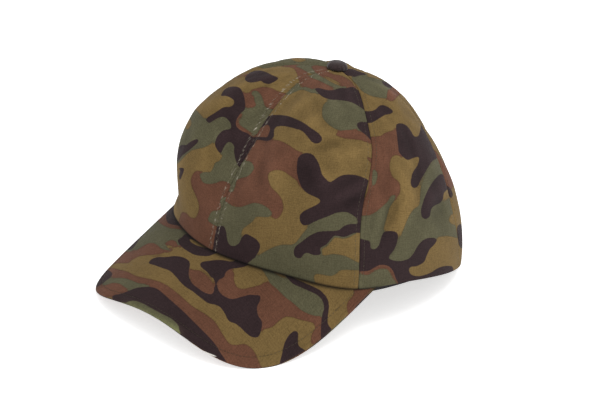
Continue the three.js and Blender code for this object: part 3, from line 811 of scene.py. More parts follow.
def printed_inks_group():
    """Four colours: each ink's mask is a smooth step of its depth, shaken by a fine noise, and
    a thin darker line follows the edges of the brown and the green."""
    floats = "NodeSocketFloat"
    colours = "NodeSocketColor"
    inputs = [("Khaki", colours, KHAKI), ("Brown", colours, BROWN), ("Green", colours, GREEN),
              ("Black", colours, BLACK), ("Softness", floats, 0.28), ("Wander", floats, 0.35),
              ("Edge Line", floats, 0.4)]
    tree, given, out = new_group("printed inks", inputs, [("Color", colours)])
    shake = swing(tree, add_noise(tree, object_place_of(tree), 700.0, 2.0), given["Wander"])
    low = maths(tree, "MULTIPLY", given["Softness"], -1.0)
    colour = given["Khaki"]
    masks = {}
    lines = {}
    for ink in INKS:
        depth = maths(tree, "ADD", read_mask(tree, ink), shake)
        masks[ink] = map_range(tree, depth, low, given["Softness"], way="SMOOTHSTEP")
        colour = mix_colour(tree, masks[ink], colour, given[ink.capitalize()])
        if ink != "black":
            lines[ink] = map_range(tree, maths(tree, "ABSOLUTE", depth), 0.0, 0.75, 1.0, 0.0)
    brown_line = maths(tree, "MULTIPLY", lines["brown"], maths(tree, "SUBTRACT", 1.0, masks["green"]))
    line = maths(tree, "MAXIMUM", brown_line, maths(tree, "MULTIPLY", lines["green"], 0.75))
    line = maths(tree, "MULTIPLY", line, given["Edge Line"])
    line = maths(tree, "MULTIPLY", line, maths(tree, "SUBTRACT", 1.0, masks["black"]))
    dark = mix_colour(tree, 1.0, colour, INK_EDGE_TINT, "MULTIPLY")
    tree.links.new(mix_colour(tree, line, colour, dark), out["Color"])
    return tree


def woven_cotton_group():
    """Plain weave: two sets of threads rounded as the size of a sine, each waving over and
    under the other as a cosine, with uneven threads, fine grain and a soft mottle."""
    floats = "NodeSocketFloat"
    inputs = [("Thread", floats, 0.42), ("Slub", floats, 0.42), ("Grain", floats, 0.8),
              ("Mottle", floats, 0.42)]
    tree, given, out = new_group("woven cotton", inputs, [("Height", floats), ("Shade", floats)])
    place = cloth_place_of(tree)
    scale = maths(tree, "DIVIDE", 1000.0, given["Thread"])
    counted = add_node(tree, "ShaderNodeVectorMath", {0: place, "Scale": scale}, operation="SCALE")
    parts = add_node(tree, "ShaderNodeSeparateXYZ", {0: counted.outputs[0]})
    threads = []
    for along, across in ((0, 1), (1, 0)):
        a = parts.outputs[across]
        b = parts.outputs[along]
        round_top = maths(tree, "ABSOLUTE", maths(tree, "SINE", maths(tree, "MULTIPLY", a, math.pi)))
        phase = maths(tree, "ADD", b, maths(tree, "ADD", maths(tree, "FLOOR", a), float(along)))
        wave = maths(tree, "COSINE", maths(tree, "MULTIPLY", phase, math.pi))
        wave = maths(tree, "MULTIPLY_ADD", wave, 0.5, 0.5)
        threads.append(maths(tree, "MULTIPLY", round_top, wave))
    height = maths(tree, "MAXIMUM", threads[0], threads[1])
    shade = maths(tree, "MULTIPLY_ADD", height, 0.22, 0.86)
    for stretch in ((0.6, 0.07, 1.0), (0.07, 0.6, 1.0)):
        slub = add_noise(tree, stretch_place(tree, counted.outputs[0], stretch), 1.0, 1.0)
        shade = maths(tree, "ADD", shade, swing(tree, slub, given["Slub"]))
    shade = maths(tree, "ADD", shade, swing(tree, add_noise(tree, place, 1100.0, 2.0), given["Grain"]))
    shade = maths(tree, "ADD", shade, swing(tree, add_noise(tree, place, 45.0, 4.0), given["Mottle"]))
    tree.links.new(height, out["Height"])
    tree.links.new(shade, out["Shade"])
    return tree


def seam_wear_group():
    """Pale fuzz and needle marks beside a seam: a bell of the distance from the row of stitches
    and a weaker rise to the seam itself, both broken up by a noise drawn out along the seam."""
    floats = "NodeSocketFloat"
    inputs = [("Distance", floats, 50.0), ("Row", floats, 3.1), ("Amount", floats, 0.5)]
    tree, given, out = new_group("seam wear", inputs, [("Fuzz", floats)])
    drawn = stretch_place(tree, cloth_place_of(tree), (900.0, 330.0, 1.0))
    marks = map_range(tree, add_noise(tree, drawn, 1.0, 3.0), 0.52, 0.72)
    off = maths(tree, "DIVIDE", maths(tree, "SUBTRACT", given["Distance"], given["Row"]), 0.8)
    bell = maths(tree, "EXPONENT", maths(tree, "MULTIPLY", maths(tree, "MULTIPLY", off, off), -1.0))
    edge = maths(tree, "EXPONENT", maths(tree, "MULTIPLY", given["Distance"], -2.5))
    band = maths(tree, "MULTIPLY_ADD", edge, 0.5, bell)
    fuzz = maths(tree, "MULTIPLY", maths(tree, "MULTIPLY", band, marks), given["Amount"])
    tree.links.new(fuzz, out["Fuzz"])
    return tree


printed_inks = printed_inks_group()
woven_cotton = woven_cotton_group()
seam_wear = seam_wear_group()


def new_material(name, roughness, sheen):
    """A cloth material with plain constants on its shader. Returns it, its tree and shader."""
    material = bpy.data.materials.new(name)
    material.use_nodes = True
    tree = material.node_tree
    shader = tree.nodes["Principled BSDF"]
    shader.inputs["Roughness"].default_value = roughness
    shader.inputs["Sheen Weight"].default_value = sheen
    shader.inputs["Sheen Roughness"].default_value = 0.45
    shader.inputs["Specular IOR Level"].default_value = 0.1
    return material, tree, shader


def camouflage_cotton(name, wear):
    """Printed inks toned by the weave, with painted highlight on the cloth's ridges and painted
    shade in its valleys, then in turn lit at the peak's edge by painted light, faded inside, rubbed
    beside the front seam, darkened in the crease by painted shade and white where frayed."""
    material, tree, shader = new_material(name, 0.9, 0.02)
    inks = add_node(tree, "ShaderNodeGroup", node_tree=printed_inks).outputs["Color"]
    weave = add_node(tree, "ShaderNodeGroup", node_tree=woven_cotton).outputs
    feeds = {"Distance": read_mask(tree, "front_seam"), "Amount": wear}
    fuzz = add_node(tree, "ShaderNodeGroup", feeds, node_tree=seam_wear).outputs["Fuzz"]
    # Painted light and shade of the folds: lighter on ridges and darker in valleys, by up to a quarter.
    fold_light_and_shade = maths(tree, "MULTIPLY_ADD", read_mask(tree, "ridge"), 0.26, 1.0)
    shade = maths(tree, "MULTIPLY", weave["Shade"], fold_light_and_shade)
    inside = maths(tree, "MULTIPLY", read_mask(tree, "inside"), 0.45)
    # Painted shade: the crease between the crown's hem and the peak darkened almost to black.
    crease = maths(tree, "MULTIPLY", read_mask(tree, "crease"), 0.85)
    colour = mix_colour(tree, 1.0, inks, shade, "MULTIPLY")
    # Painted light: a stretch of the peak's front edge lightened more than twofold.
    colour = mix_colour(tree, read_mask(tree, "painted_edge_light"), colour, PAINTED_EDGE_LIGHT_TINT, "MULTIPLY")
    colour = mix_colour(tree, inside, colour, PALE_INSIDE)
    colour = mix_colour(tree, fuzz, colour, PALE_THREAD)
    colour = mix_colour(tree, crease, colour, CREASE_SHADE_COLOUR)
    colour = mix_colour(tree, read_mask(tree, "frayed"), colour, FRAYED_WHITE)
    crumple_noise = add_noise(tree, object_place_of(tree), 75.0, 3.0)
    height = maths(tree, "MULTIPLY", weave["Height"], 0.22)
    height = maths(tree, "MULTIPLY_ADD", crumple_noise, 2.2, height)
    finish_shader(tree, shader, colour, height, 0.5, 0.0005)
    return material


crown_cotton = camouflage_cotton("crown camouflage cotton", 0.8)


def length_along(line):
    return np.concatenate([[0], np.cumsum(np.linalg.norm(np.diff(line, axis=0), axis=1))])


def on_both_faces(values):
    return np.tile(values.ravel(), 2)


def crown_panel(name, seam, lender, mirrored):
    """One panel: the outer face and the same face set in by the cloth, as a closed sheet. On
    the flat cloth it runs up by the length of its middle and across by turn times radius."""
    turn, share = panel_turns(seam)
    outer, radius = crown_point(turn, share, 0)
    inner, _ = crown_point(turn, share, CLOTH)
    lender_seam = next(row[1] for row in PANELS if row[0] == lender)
    lender_turn, _ = panel_turns(lender_seam)
    lent, _ = crown_point(lender_turn[::-1] if mirrored else lender_turn, share, 0)
    inks = blended_inks(outer, PRINT_ON_PANELS.get(name, ()), lent, PRINT_ON_PANELS[lender])
    rise = length_along(outer[PANEL_COLUMNS // 2])
    width = np.radians(turn - turn[PANEL_COLUMNS // 2]) * radius
    place = np.stack([width, rise[None, :] + 0 * width], -1).reshape(-1, 2)
    apart = np.mod(turn - seam_turn(0, share) + 180, 360) - 180
    over_peak = smooth((PEAK_TURN + CREASE_SHADE_PAST_PEAK - folded_turn(turn)) / CREASE_SHADE_FADE_TURN)
    masks = {ink: on_both_faces(values) for ink, values in inks.items()}
    masks["front_seam"] = on_both_faces(np.radians(np.abs(apart)) * radius)
    masks["inside"] = np.repeat([0.0, 1.0], turn.size)
    # ridges and valleys of the relief, for the painted light and shade of the folds
    masks["ridge"] = on_both_faces(fold_shading_mask(relief(turn, share, radius)))
    # painted shade along the hem over the peak, fading past the peak's end
    masks["crease"] = on_both_faces(np.exp(-((rise[None, :] / CREASE_SHADE_REACH) ** 2)) * over_peak)
    points = np.concatenate([outer.reshape(-1, 3), inner.reshape(-1, 3)])
    faces = sheet_faces(PANEL_COLUMNS, PANEL_ROWS)
    return make_piece(f"{name}_cloth", points, faces, np.tile(place, (2, 1)), masks,
                      crown_cotton, [f"{name}_panel"])


for panel_name, panel_seam, lender_name, turned_over, cut_width, cut_length, cut_area in PANELS:
    panel = crown_panel(panel_name, panel_seam, lender_name, turned_over)


# Top stitching: a row of thread along both sides of every seam, laid on the finished panels.
# The rows by the front seam are rubbed pale.
STITCH_PITCH = 2.5
STITCH_LENGTH = 2.05
STITCH_WIDTH = 0.21
STITCH_STANDS = 0.14
STITCH_RAISED = 0.35
STITCH_SINKS = 0.6
STITCH_SKEW = 0.05
STITCH_SIDES = 6
STITCH_RINGS = (-0.86, -0.45, 0.45, 0.86)
STITCH_POINTS = 2 + STITCH_SIDES * len(STITCH_RINGS)
ROW_FROM_SEAM = 3.1
ROW_ENDS = (0.012, 0.945)
ROW_SAMPLES = 400

# How pale the thread is at the hem and at the top, and by how much it varies.
FRONT_ROWS_FADE = ((0.26, 0.07), 0.26)
OTHER_ROWS_FADE = ((0.08, 0.04), 0.1)
THREAD = (0.075, 0.062, 0.036, 1)
WORN_THREAD = (0.25, 0.218, 0.154, 1)


def stitch_row(line, above):
    """Centres, directions and normals of stitches spaced evenly along a line of points."""
    length = length_along(line)
    count = int(length[-1] / STITCH_PITCH)
    at = (np.arange(count) + 0.5) * length[-1] / count
    places = (at, at + 0.5, at - 0.5)
    centre, ahead, behind = (
        np.stack([np.interp(place, length, line[:, k]) for k in range(3)], -1) for place in places)
    normal = np.stack([np.interp(at, length, above[:, k]) for k in range(3)], -1)
    along = ahead - behind
    along /= np.linalg.norm(along, axis=1, keepdims=True)
    normal -= along * (normal * along).sum(1, keepdims=True)
    normal /= np.linalg.norm(normal, axis=1, keepdims=True)
    return centre, along, normal


def stitch_points(centre, along, normal, seed):
    """Each stitch is a thread rounded at both ends: rings whose radius follows a half circle
    to a low power along it, turned and drawn out a little at random."""
    chance = np.random.default_rng(seed)
    count = len(centre)
    ring_at = np.array(STITCH_RINGS)
    ring_size = (1 - ring_at**2) ** 0.3
    side_angle = 2 * math.pi * np.arange(STITCH_SIDES) / STITCH_SIDES
    u = np.concatenate([[-1], np.repeat(ring_at, STITCH_SIDES), [1]])
    v = np.concatenate([[0], np.outer(ring_size, np.cos(side_angle)).ravel(), [0]])
    w = np.concatenate([[0], np.outer(ring_size, np.sin(side_angle)).ravel(), [0]])
    rise = w + STITCH_RAISED - STITCH_SINKS * u**2
    side = np.cross(normal, along)
    skew = chance.normal(0, STITCH_SKEW, (count, 1, 1))
    drawn = 0.5 * STITCH_LENGTH * chance.uniform(0.85, 1.05, (count, 1, 1))
    lift = STITCH_STANDS * chance.uniform(0.6, 1.2, (count, 1, 1))
    run = drawn * u[None, :, None]
    points = centre[:, None] + run * along[:, None] + run * skew * side[:, None]
    points = points + 0.5 * STITCH_WIDTH * v[None, :, None] * side[:, None]
    return (points + lift * rise[None, :, None] * normal[:, None]).reshape(-1, 3)


def stitch_faces(count):
    """Quads between the rings of one stitch and triangles at its two ends, repeated with its
    number of points."""
    ring = 1 + np.arange(STITCH_SIDES)
    after = np.roll(ring, -1)
    last = STITCH_POINTS - 1 - STITCH_SIDES
    quads = [np.stack([k + ring, k + STITCH_SIDES + ring, k + STITCH_SIDES + after, k + after], -1)
             for k in range(0, last - 1, STITCH_SIDES)]
    ends = [np.stack([0 * ring, ring, after], -1)]
    ends.append(np.stack([0 * ring + STITCH_POINTS - 1, last - 1 + after, last - 1 + ring], -1))
    shift = STITCH_POINTS * np.arange(count)[:, None, None]
    quads = (np.concatenate(quads) + shift).reshape(-1, 4).tolist()
    return quads + (np.concatenate(ends) + shift).reshape(-1, 3).tolist()


def sewing_thread():
    """Spun thread: a fine twist across the stitch, and a tone that fades with wear."""
    material, tree, shader = new_material("sewing thread", 0.75, 0.12)
    feeds = {"Vector": cloth_place_of(tree), "Scale": 2600.0, "Distortion": 0.6}
    twist = add_node(tree, "ShaderNodeTexWave", feeds, bands_direction="DIAGONAL").outputs["Fac"]
    tone = mix_colour(tree, read_mask(tree, "fade"), THREAD, WORN_THREAD)
    shade = maths(tree, "MULTIPLY_ADD", twist, 0.35, 0.75)
    finish_shader(tree, shader, mix_colour(tree, 1.0, tone, shade, "MULTIPLY"), twist, 0.5, 0.0001)
    return material


thread = sewing_thread()


def sew(name, rows):
    """One piece from rows given as (line, normals, fade at both ends, spread of fade, seed)."""
    points = []
    fades = []
    for line, above, fade, spread, seed in rows:
        centre, along, normal = stitch_row(line, above)
        points.append(stitch_points(centre, along, normal, seed))
        chance = np.random.default_rng(seed + 100)
        tone = np.clip(chance.normal(np.linspace(*fade, len(centre)), spread), 0, 1)
        fades.append(np.repeat(tone, STITCH_POINTS))
    points = np.concatenate(points)
    count = len(points) // STITCH_POINTS
    spot = np.arange(STITCH_POINTS)
    place = np.stack([(spot % STITCH_SIDES) * 0.25, spot // STITCH_SIDES * 0.7], -1)
    return make_piece(name, points, stitch_faces(count), np.tile(place, (count, 1)),
                      {"fade": np.concatenate(fades)}, thread, sharp=None)


def crown_line(turn, share):
    """A line on the crown and its outward normals, from two nearby depths."""
    line, _ = crown_point(turn, share, 0)
    above, _ = crown_point(turn, share, -1)
    return line, above - line


def seam_rows():
    """Both rows of every seam, from just above the hem to just under the button."""
    rows = []
    share = np.linspace(*ROW_ENDS, ROW_SAMPLES)
    for seam in range(len(PANELS)):
        for side in (-1, 1):
            turn = seam_turn(seam, share)
            radius = crown_point(turn, share, 0)[1]
            turn = turn + side * np.degrees(ROW_FROM_SEAM / radius)
            fade, spread = FRONT_ROWS_FADE if seam == 0 else OTHER_ROWS_FADE
            rows.append((*crown_line(turn, share), fade, spread, 10 * seam + side + 1))
    return rows


sew("crown_stitching", seam_rows())


# Peak: a stiff board covered above and below with the printed cotton, its edge rolled round
# the board and held by one row of stitches. Worn through to white threads at the front edge.
PEAK_LENGTH = 59.2
PEAK_HALF_WIDTH = 88.2
PEAK_SQUARENESS = 3.7
PEAK_THICK = 3
PEAK_EDGE_ROW = 4.6
PEAK_CHANNEL = 0.2
PEAK_CHANNEL_REACH = 0.9
PEAK_ROLL = 0.25
PEAK_ROLL_FROM_EDGE = 2.2
PEAK_ROLL_REACH = 1.6
PEAK_COVER_SINKS = 0.2
PEAK_RELIEF_SPAN = 12
PEAK_EDGE_ANGLE = 1.42
PEAK_RESTS = 0.05
# Reach of the painted shade in the crease by the crown's hem.
PEAK_CREASE_SHADE_REACH = 1.3
FAR_FROM_SEAM = 50
PEAK_ROW_FADE = ((0, 0), 0.03)
PEAK_ROW_SEED = 91
PEAK_COLUMNS = 260
PEAK_ROWS = 96
PEAK_EDGE_STEPS = 10

PRINT_ON_PEAK = (
    ("green", "root left", ((178, 194), (176, 200), (173, 205), (167, 209), (161, 212), (154, 216),
        (160, 208), (168, 199))),
    ("brown", "left of centre", ((156, 216), (162, 211), (167, 210), (165, 216), (166, 222), (170, 225),
        (178, 226), (184, 229), (178, 229), (170, 227), (164, 225), (160, 222), (158, 219))),
    ("green", "left large", ((155, 213), (158, 221), (163, 225), (170, 228), (178, 229), (188, 232),
        (184, 238), (180, 242), (177, 245), (170, 244), (165, 243), (168, 248), (171, 250), (167, 251),
        (161, 249), (157, 245), (152, 243), (146, 245), (141, 248), (137, 250), (132, 250), (128, 252),
        (118, 253), (126, 244), (136, 234), (144, 224))),
    ("brown", "left band", ((118, 251), (130, 252), (137, 250), (143, 246), (150, 243), (157, 245),
        (162, 249), (170, 250), (172, 246), (166, 243), (172, 240), (178, 243), (180, 246), (176, 247),
        (172, 248), (168, 251), (160, 254), (150, 255), (140, 256), (132, 260), (128, 263), (118, 263),
        (109, 264))),
    ("black", "root", ((181, 190), (178, 198), (174, 205), (168, 210), (166, 217), (168, 223), (174, 225),
        (180, 226), (190, 230), (190, 215), (188, 200))),
    ("khaki", "root chip", ((178, 217), (182, 213), (184, 216), (182, 221), (180, 222))),
    ("black", "left stripe", ((143, 230), (144, 234), (140, 238), (137, 243), (132, 249), (127, 250),
        (124, 247), (130, 240), (137, 233))),
    ("brown", "right", ((217, 281), (222, 279), (225, 275), (227, 271), (231, 270), (234, 273),
        (234, 280), (237, 287), (243, 289), (252, 287), (260, 285), (266, 282), (270, 285), (276, 290),
        (284, 296), (292, 303), (300, 309), (308, 313), (316, 316), (322, 318), (322, 330), (321, 338),
        (314, 344), (311, 342), (312, 334), (315, 328), (313, 323), (306, 321), (298, 319), (292, 317),
        (285, 317), (279, 321), (272, 327), (265, 329), (262, 330), (262, 322), (258, 314), (257, 306),
        (260, 300), (260, 296), (252, 295), (243, 297), (232, 300), (224, 297), (218, 291), (216, 286))),
    ("black", "middle", ((149, 262), (152, 259), (158, 257), (166, 257), (174, 256), (182, 257),
        (188, 260), (190, 264), (189, 270), (189, 276), (192, 283), (198, 288), (205, 292), (210, 292),
        (214, 288), (215, 283), (213, 278), (211, 277), (207, 272), (202, 268), (200, 265), (202, 262),
        (208, 261), (215, 260), (222, 260), (228, 261), (234, 261), (241, 256), (252, 260), (246, 266),
        (238, 268), (231, 269), (226, 272), (224, 277), (219, 280), (217, 284), (219, 291), (224, 296),
        (232, 299), (241, 297), (248, 295), (255, 295), (260, 296), (260, 301), (257, 307), (258, 315),
        (262, 322), (261, 331), (258, 337), (252, 337), (246, 333), (241, 328), (236, 324), (229, 321),
        (225, 314), (221, 308), (216, 305), (208, 303), (201, 298), (192, 291), (183, 285), (177, 278),
        (170, 271), (162, 268), (154, 265), (150, 264))),
    ("brown", "oval", ((189, 270), (195, 270), (201, 271), (207, 276), (212, 282), (214, 288), (213, 293),
        (209, 294), (202, 291), (196, 286), (192, 281), (190, 275))),
    ("black", "under the crown", ((178, 240), (182, 237), (186, 234), (196, 236), (204, 242), (214, 247),
        (218, 252), (214, 254), (209, 256), (202, 256), (195, 255), (189, 252), (183, 248), (179, 244))),
    ("khaki", "slit", ((190, 239), (196, 241), (203, 245), (208, 248), (202, 247), (196, 245), (191, 242))),
    ("green", "right", ((258, 262), (268, 268), (276, 274), (284, 278), (292, 281), (300, 286), (308, 290),
        (316, 293), (321, 297), (324, 303), (324, 309), (322, 315), (316, 316), (309, 314), (301, 310),
        (293, 303), (285, 297), (277, 289), (270, 283), (267, 277))),
    ("black", "right line", ((284, 273), (296, 279), (305, 283), (314, 287), (321, 291), (327, 298),
        (329, 306), (328, 316), (328, 324), (333, 333), (322, 340), (321, 326), (322, 316), (324, 308),
        (322, 300), (317, 295), (309, 291), (300, 287), (292, 283))),
    ("brown", "right end", ((354, 286), (366, 286), (382, 286), (376, 298), (364, 306), (352, 316),
        (347, 309), (348, 302), (352, 297), (354, 293))),
    ("black", "low right", ((284, 345), (287, 338), (291, 333), (295, 331), (298, 333), (298, 340),
        (299, 346), (306, 352), (296, 358), (288, 362), (280, 364), (282, 354))),
    ("brown", "long band", ((109, 268), (120, 270), (128, 272), (136, 276), (145, 278), (153, 280),
        (160, 282), (168, 286), (176, 292), (184, 299), (192, 306), (200, 311), (208, 316), (215, 322),
        (220, 330), (225, 338), (230, 344), (237, 345), (244, 344), (250, 347), (255, 353), (259, 362),
        (262, 372), (248, 374), (236, 371), (226, 366), (218, 358), (214, 343), (206, 335), (198, 327),
        (190, 318), (180, 308), (170, 299), (163, 292), (156, 288), (148, 286), (141, 284), (134, 281),
        (126, 278), (119, 277), (110, 279), (100, 281), (100, 275))),
    ("green", "left tip", ((104, 284), (108, 280), (115, 278), (123, 278), (131, 280), (138, 283),
        (145, 284), (148, 287), (140, 289), (132, 290), (126, 288), (120, 284), (112, 283), (106, 286))),
    ("brown", "left tip", ((92, 290), (103, 286), (110, 284), (118, 284), (124, 287), (127, 290),
        (121, 293), (115, 294), (111, 296), (108, 297), (103, 298), (94, 296))),
    ("black", "left tip", ((112, 273), (111, 277), (107, 280), (102, 284), (97, 287), (90, 290),
        (96, 281), (101, 273), (107, 270))),
    ("black", "front band", ((112, 298), (114, 295), (120, 294), (128, 291), (136, 288), (144, 287),
        (152, 287), (159, 290), (166, 296), (174, 303), (183, 311), (192, 320), (201, 329), (209, 337),
        (215, 344), (220, 352), (228, 366), (216, 364), (203, 357), (194, 352), (184, 345), (176, 338),
        (179, 328), (176, 323), (170, 318), (162, 314), (153, 309), (144, 304), (136, 301), (130, 301),
        (126, 303), (120, 303), (115, 301))),
    ("green", "front edge", ((120, 306), (131, 301), (138, 303), (146, 306), (155, 311), (164, 315),
        (172, 319), (177, 324), (179, 329), (180, 338), (166, 334), (150, 324), (134, 316), (122, 310))),
)

# Worn lines of the front edge: both ends and the half width, in pixels of the picture.
FRAYED_LINES = (
    ("first nick", (183, 337.5), (187.5, 340.5), 0.5),
    ("spot", (189.6, 343), (191, 344), 0.75),
    ("long slit", (199.5, 350), (215, 356.2), 0.55),
)

# Painted light: a stretch of the front edge made lighter, by both ends and the half width, in pixels.
PAINTED_EDGE_LIGHT_STRETCH = ((124, 305), (176, 333), 6)


def peak_plan():
    """Inner and outer end of each column: the inner follows the crown's rim, set in by the
    cloth, and the outer a half superellipse out to the peak's length."""
    even = np.linspace(-1, 1, PEAK_COLUMNS + 1)
    across = even + 0.06 * np.sin(np.pi * even)
    power = 2 / PEAK_SQUARENESS
    rim_x, rim_y = rim_point(across * PEAK_TURN)
    inward = CLOTH / np.hypot(rim_x, rim_y - APEX_BACK)
    inner = np.stack([rim_x * (1 - inward), rim_y - (rim_y - APEX_BACK) * inward], -1)
    end_y = rim_point(PEAK_TURN)[1]
    angle = across * np.pi / 2
    x = PEAK_HALF_WIDTH * np.sign(across) * np.abs(np.sin(angle)) ** power
    y = end_y - (PEAK_ROOT_Y + PEAK_LENGTH + end_y) * np.maximum(0, np.cos(angle)) ** power
    return inner, np.stack([x, y], -1)


def peak_grids():
    """Top and under grids. The last rows follow a quarter circle round the edge, the top sinks
    a little along the row of stitches and the underside is pressed flat where it rests."""
    inner, outer = peak_plan()
    span = np.maximum(np.linalg.norm(outer - inner, axis=1), 0.5)[:, None]
    curl = np.minimum(0.5 * PEAK_THICK, 0.45 * span)
    angle = np.linspace(0, PEAK_EDGE_ANGLE, PEAK_EDGE_STEPS + 1)[None, 1:]
    flat = np.linspace(0, 1, PEAK_ROWS + 1)[None, :] * (span - curl)
    reach = np.concatenate([flat, span - curl + curl * np.sin(angle)], 1)
    drop = np.concatenate([0 * flat, curl * (1 - np.cos(angle))], 1)
    share = (reach / span)[..., None]
    plan = inner[:, None] * (1 - share) + outer[:, None] * share
    height = peak_height(plan[..., 0], plan[..., 1])
    from_edge = edge_distance(plan, outer)
    channel = PEAK_CHANNEL * np.exp(-(((from_edge - PEAK_EDGE_ROW) / PEAK_CHANNEL_REACH) ** 2))
    roll = PEAK_ROLL * np.exp(-(((from_edge - PEAK_ROLL_FROM_EDGE) / PEAK_ROLL_REACH) ** 2))
    raised = (roll - channel - PEAK_COVER_SINKS) * smooth(span / PEAK_RELIEF_SPAN)
    top = np.stack([plan[..., 0], plan[..., 1], height - drop + raised], -1)
    resting = np.maximum(height - PEAK_THICK + drop, PEAK_RESTS)
    under = np.stack([plan[..., 0], plan[..., 1], resting], -1)
    return top, under, reach + 0 * drop


def edge_distance(plan, outer):
    """Distance in plan from each point to the peak's outer edge, taken as its sampled line."""
    flat = plan.reshape(-1, 2)
    best = np.full(len(flat), 1e9)
    for k in range(0, len(outer), 2):
        best = np.minimum(best, ((flat - outer[k]) ** 2).sum(-1))
    return np.sqrt(best).reshape(plan.shape[:2])


def line_distance(places, start, end):
    """Distance from each place to a straight line, and the share along it of the nearest point."""
    step = np.subtract(end, start)
    along = np.clip((places - start) @ step / (step @ step), 0, 1)
    return np.linalg.norm(places - start - along[:, None] * step, axis=1), along


def frayed_mask(places):
    """White where the edge is worn through: a smooth step of the distance to each worn line."""
    mask = np.zeros(len(places))
    for _, start, end, half in FRAYED_LINES:
        off, _ = line_distance(places, start, end)
        mask = np.maximum(mask, 1 - smooth((off - half) / 0.7 + 0.5))
    return mask


def painted_edge_light_mask(places):
    """Painted light: a bell of the distance to the lit stretch, stronger towards its second end."""
    start, end, half = PAINTED_EDGE_LIGHT_STRETCH
    off, along = line_distance(places, start, end)
    return np.exp(-((off / half) ** 2)) * (0.35 + 0.65 * along)


def make_peak():
    """The cover as a closed sheet. Its underside takes the top's print, turned over."""
    top, under, reach = peak_grids()
    rows = PEAK_ROWS + PEAK_EDGE_STEPS
    placed = np.array([0, -BOX_CENTRE_Y, 0])
    upper = (top + placed).reshape(-1, 3)
    lower = (under + placed).reshape(-1, 3)
    mirrored = (top * [-1, 1, 1] + placed).reshape(-1, 3)
    count = len(upper)
    inks = print_inks(picture_place(upper), PRINT_ON_PEAK)
    turned = print_inks(picture_place(mirrored), PRINT_ON_PEAK)
    edge_row = np.tile(np.arange(rows + 1) >= PEAK_ROWS, 2 * (PEAK_COLUMNS + 1))
    points = np.concatenate([upper, lower])
    masks = {ink: np.concatenate([inks[ink], turned[ink]]) for ink in INKS}
    masks["frayed"] = frayed_mask(picture_place(points)) * edge_row
    # painted light on the top of the peak's front edge only
    masks["painted_edge_light"] = np.concatenate([painted_edge_light_mask(picture_place(upper)), np.zeros(count)])
    masks["front_seam"] = np.full(2 * count, FAR_FROM_SEAM)
    masks["inside"] = np.zeros(2 * count)
    # Painted shade in the crease where the peak meets the crown's hem.
    outside = np.maximum(0, reach - CLOTH)
    masks["crease"] = on_both_faces(np.exp(-((outside / PEAK_CREASE_SHADE_REACH) ** 2)))
    place = np.tile(top[..., :2].reshape(-1, 2), (2, 1))
    cotton = camouflage_cotton("peak camouflage cotton", 0.0)
    faces = sheet_faces(PEAK_COLUMNS, rows, flip=True)
    return make_piece("peak_cover", points, faces, place, masks, cotton, ["peak"])


def peak_edge_row():
    """The row of stitches on the peak's top, a fixed way in from its outer edge."""
    inner, outer = peak_plan()
    along = np.gradient(outer, axis=0)
    along /= np.linalg.norm(along, axis=1, keepdims=True)
    inward = np.stack([-along[:, 1], along[:, 0]], -1)
    toward = inner - outer
    inward *= np.sign((inward * toward).sum(1, keepdims=True))
    wide_enough = np.linalg.norm(toward, axis=1) > 2.2 * PEAK_EDGE_ROW
    x, y = (outer + inward * PEAK_EDGE_ROW)[wide_enough].T
    placed = np.stack([x, y - BOX_CENTRE_Y, peak_height(x, y) - PEAK_CHANNEL], -1)
    slope = math.tan(math.radians(PEAK_FALL))
    tilt = x / np.sqrt(PEAK_ARCH_RADIUS**2 - x**2)
    above = np.stack([tilt, 0 * tilt - slope, 1 + 0 * tilt], -1)
    return [(placed, above, *PEAK_ROW_FADE, PEAK_ROW_SEED)]


make_peak()
sew("peak_stitching", peak_edge_row())


# Sweatband: a ribbed dark tape, sewn round inside the hem. Its edge just shows below the cloth
# over the peak, and behind it lies just above the hem.
BAND_THICK = 1.2
BAND_GAP = 0.42
BAND_WIDTH = 30
BAND_DROP = 3.3
BAND_DROP_END_TURN = 95
BAND_LIFT_REAR = 0.5
BAND_COLUMNS = 288
BAND_ROWS = 24
TAPE_LENGTH = 600
TAPE_DARK = (0.008, 0.007, 0.008, 1)
TAPE_PALE = (0.022, 0.019, 0.02, 1)


def crown_at_height(turn, height, depth, highest=0.6, halvings=24):
    """Point inside the crown's wall at a height, found by halving the share of the way up, or
    straight below the hem."""
    low = np.zeros_like(turn)
    high = np.full_like(turn, highest)
    for _ in range(halvings):
        middle = (low + high) / 2
        below = crown_point(turn, middle, depth)[0][..., 2] < height
        low = np.where(below, middle, low)
        high = np.where(below, high, middle)
    point = crown_point(turn, (low + high) / 2, depth)[0]
    point[..., 2] = height
    return point


def band_tape():
    """Black ribbed tape: fine ribs up the band with a slight sheen."""
    material, tree, shader = new_material("sweatband tape", 0.75, 0.15)
    feeds = {"Vector": cloth_place_of(tree), "Scale": 380.0, "Distortion": 0.4}
    ribs = add_node(tree, "ShaderNodeTexWave", feeds, bands_direction="X").outputs["Fac"]
    finish_shader(tree, shader, mix_colour(tree, ribs, TAPE_DARK, TAPE_PALE), ribs, 0.6, 0.0003)
    return material


def make_band():
    """A closed ring: outer and inner walls at two depths inside the crown."""
    even = np.arange(BAND_COLUMNS + 1) / BAND_COLUMNS
    turn = (360 * even)[:, None] + np.zeros((1, BAND_ROWS + 1))
    away = smooth((folded_turn(turn) - PEAK_TURN) / (BAND_DROP_END_TURN - PEAK_TURN))
    low = -BAND_DROP + (BAND_DROP + BAND_LIFT_REAR) * away
    height = hem_height(turn) + low + (BAND_WIDTH - low) * np.linspace(0, 1, BAND_ROWS + 1)
    outer = crown_at_height(turn, height, CLOTH + BAND_GAP)
    inner = crown_at_height(turn, height, CLOTH + BAND_GAP + BAND_THICK)
    faces = ring_faces(BAND_COLUMNS, BAND_ROWS)
    points = np.concatenate([outer[:-1].reshape(-1, 3), inner[:-1].reshape(-1, 3)])
    along = even[:-1, None] * TAPE_LENGTH + 0 * height[:-1]
    place = np.stack([along, height[:-1]], -1).reshape(-1, 2)
    return make_piece("sweatband_tape", points, faces, np.tile(place, (2, 1)), {}, band_tape(),
                      ["sweatband"])


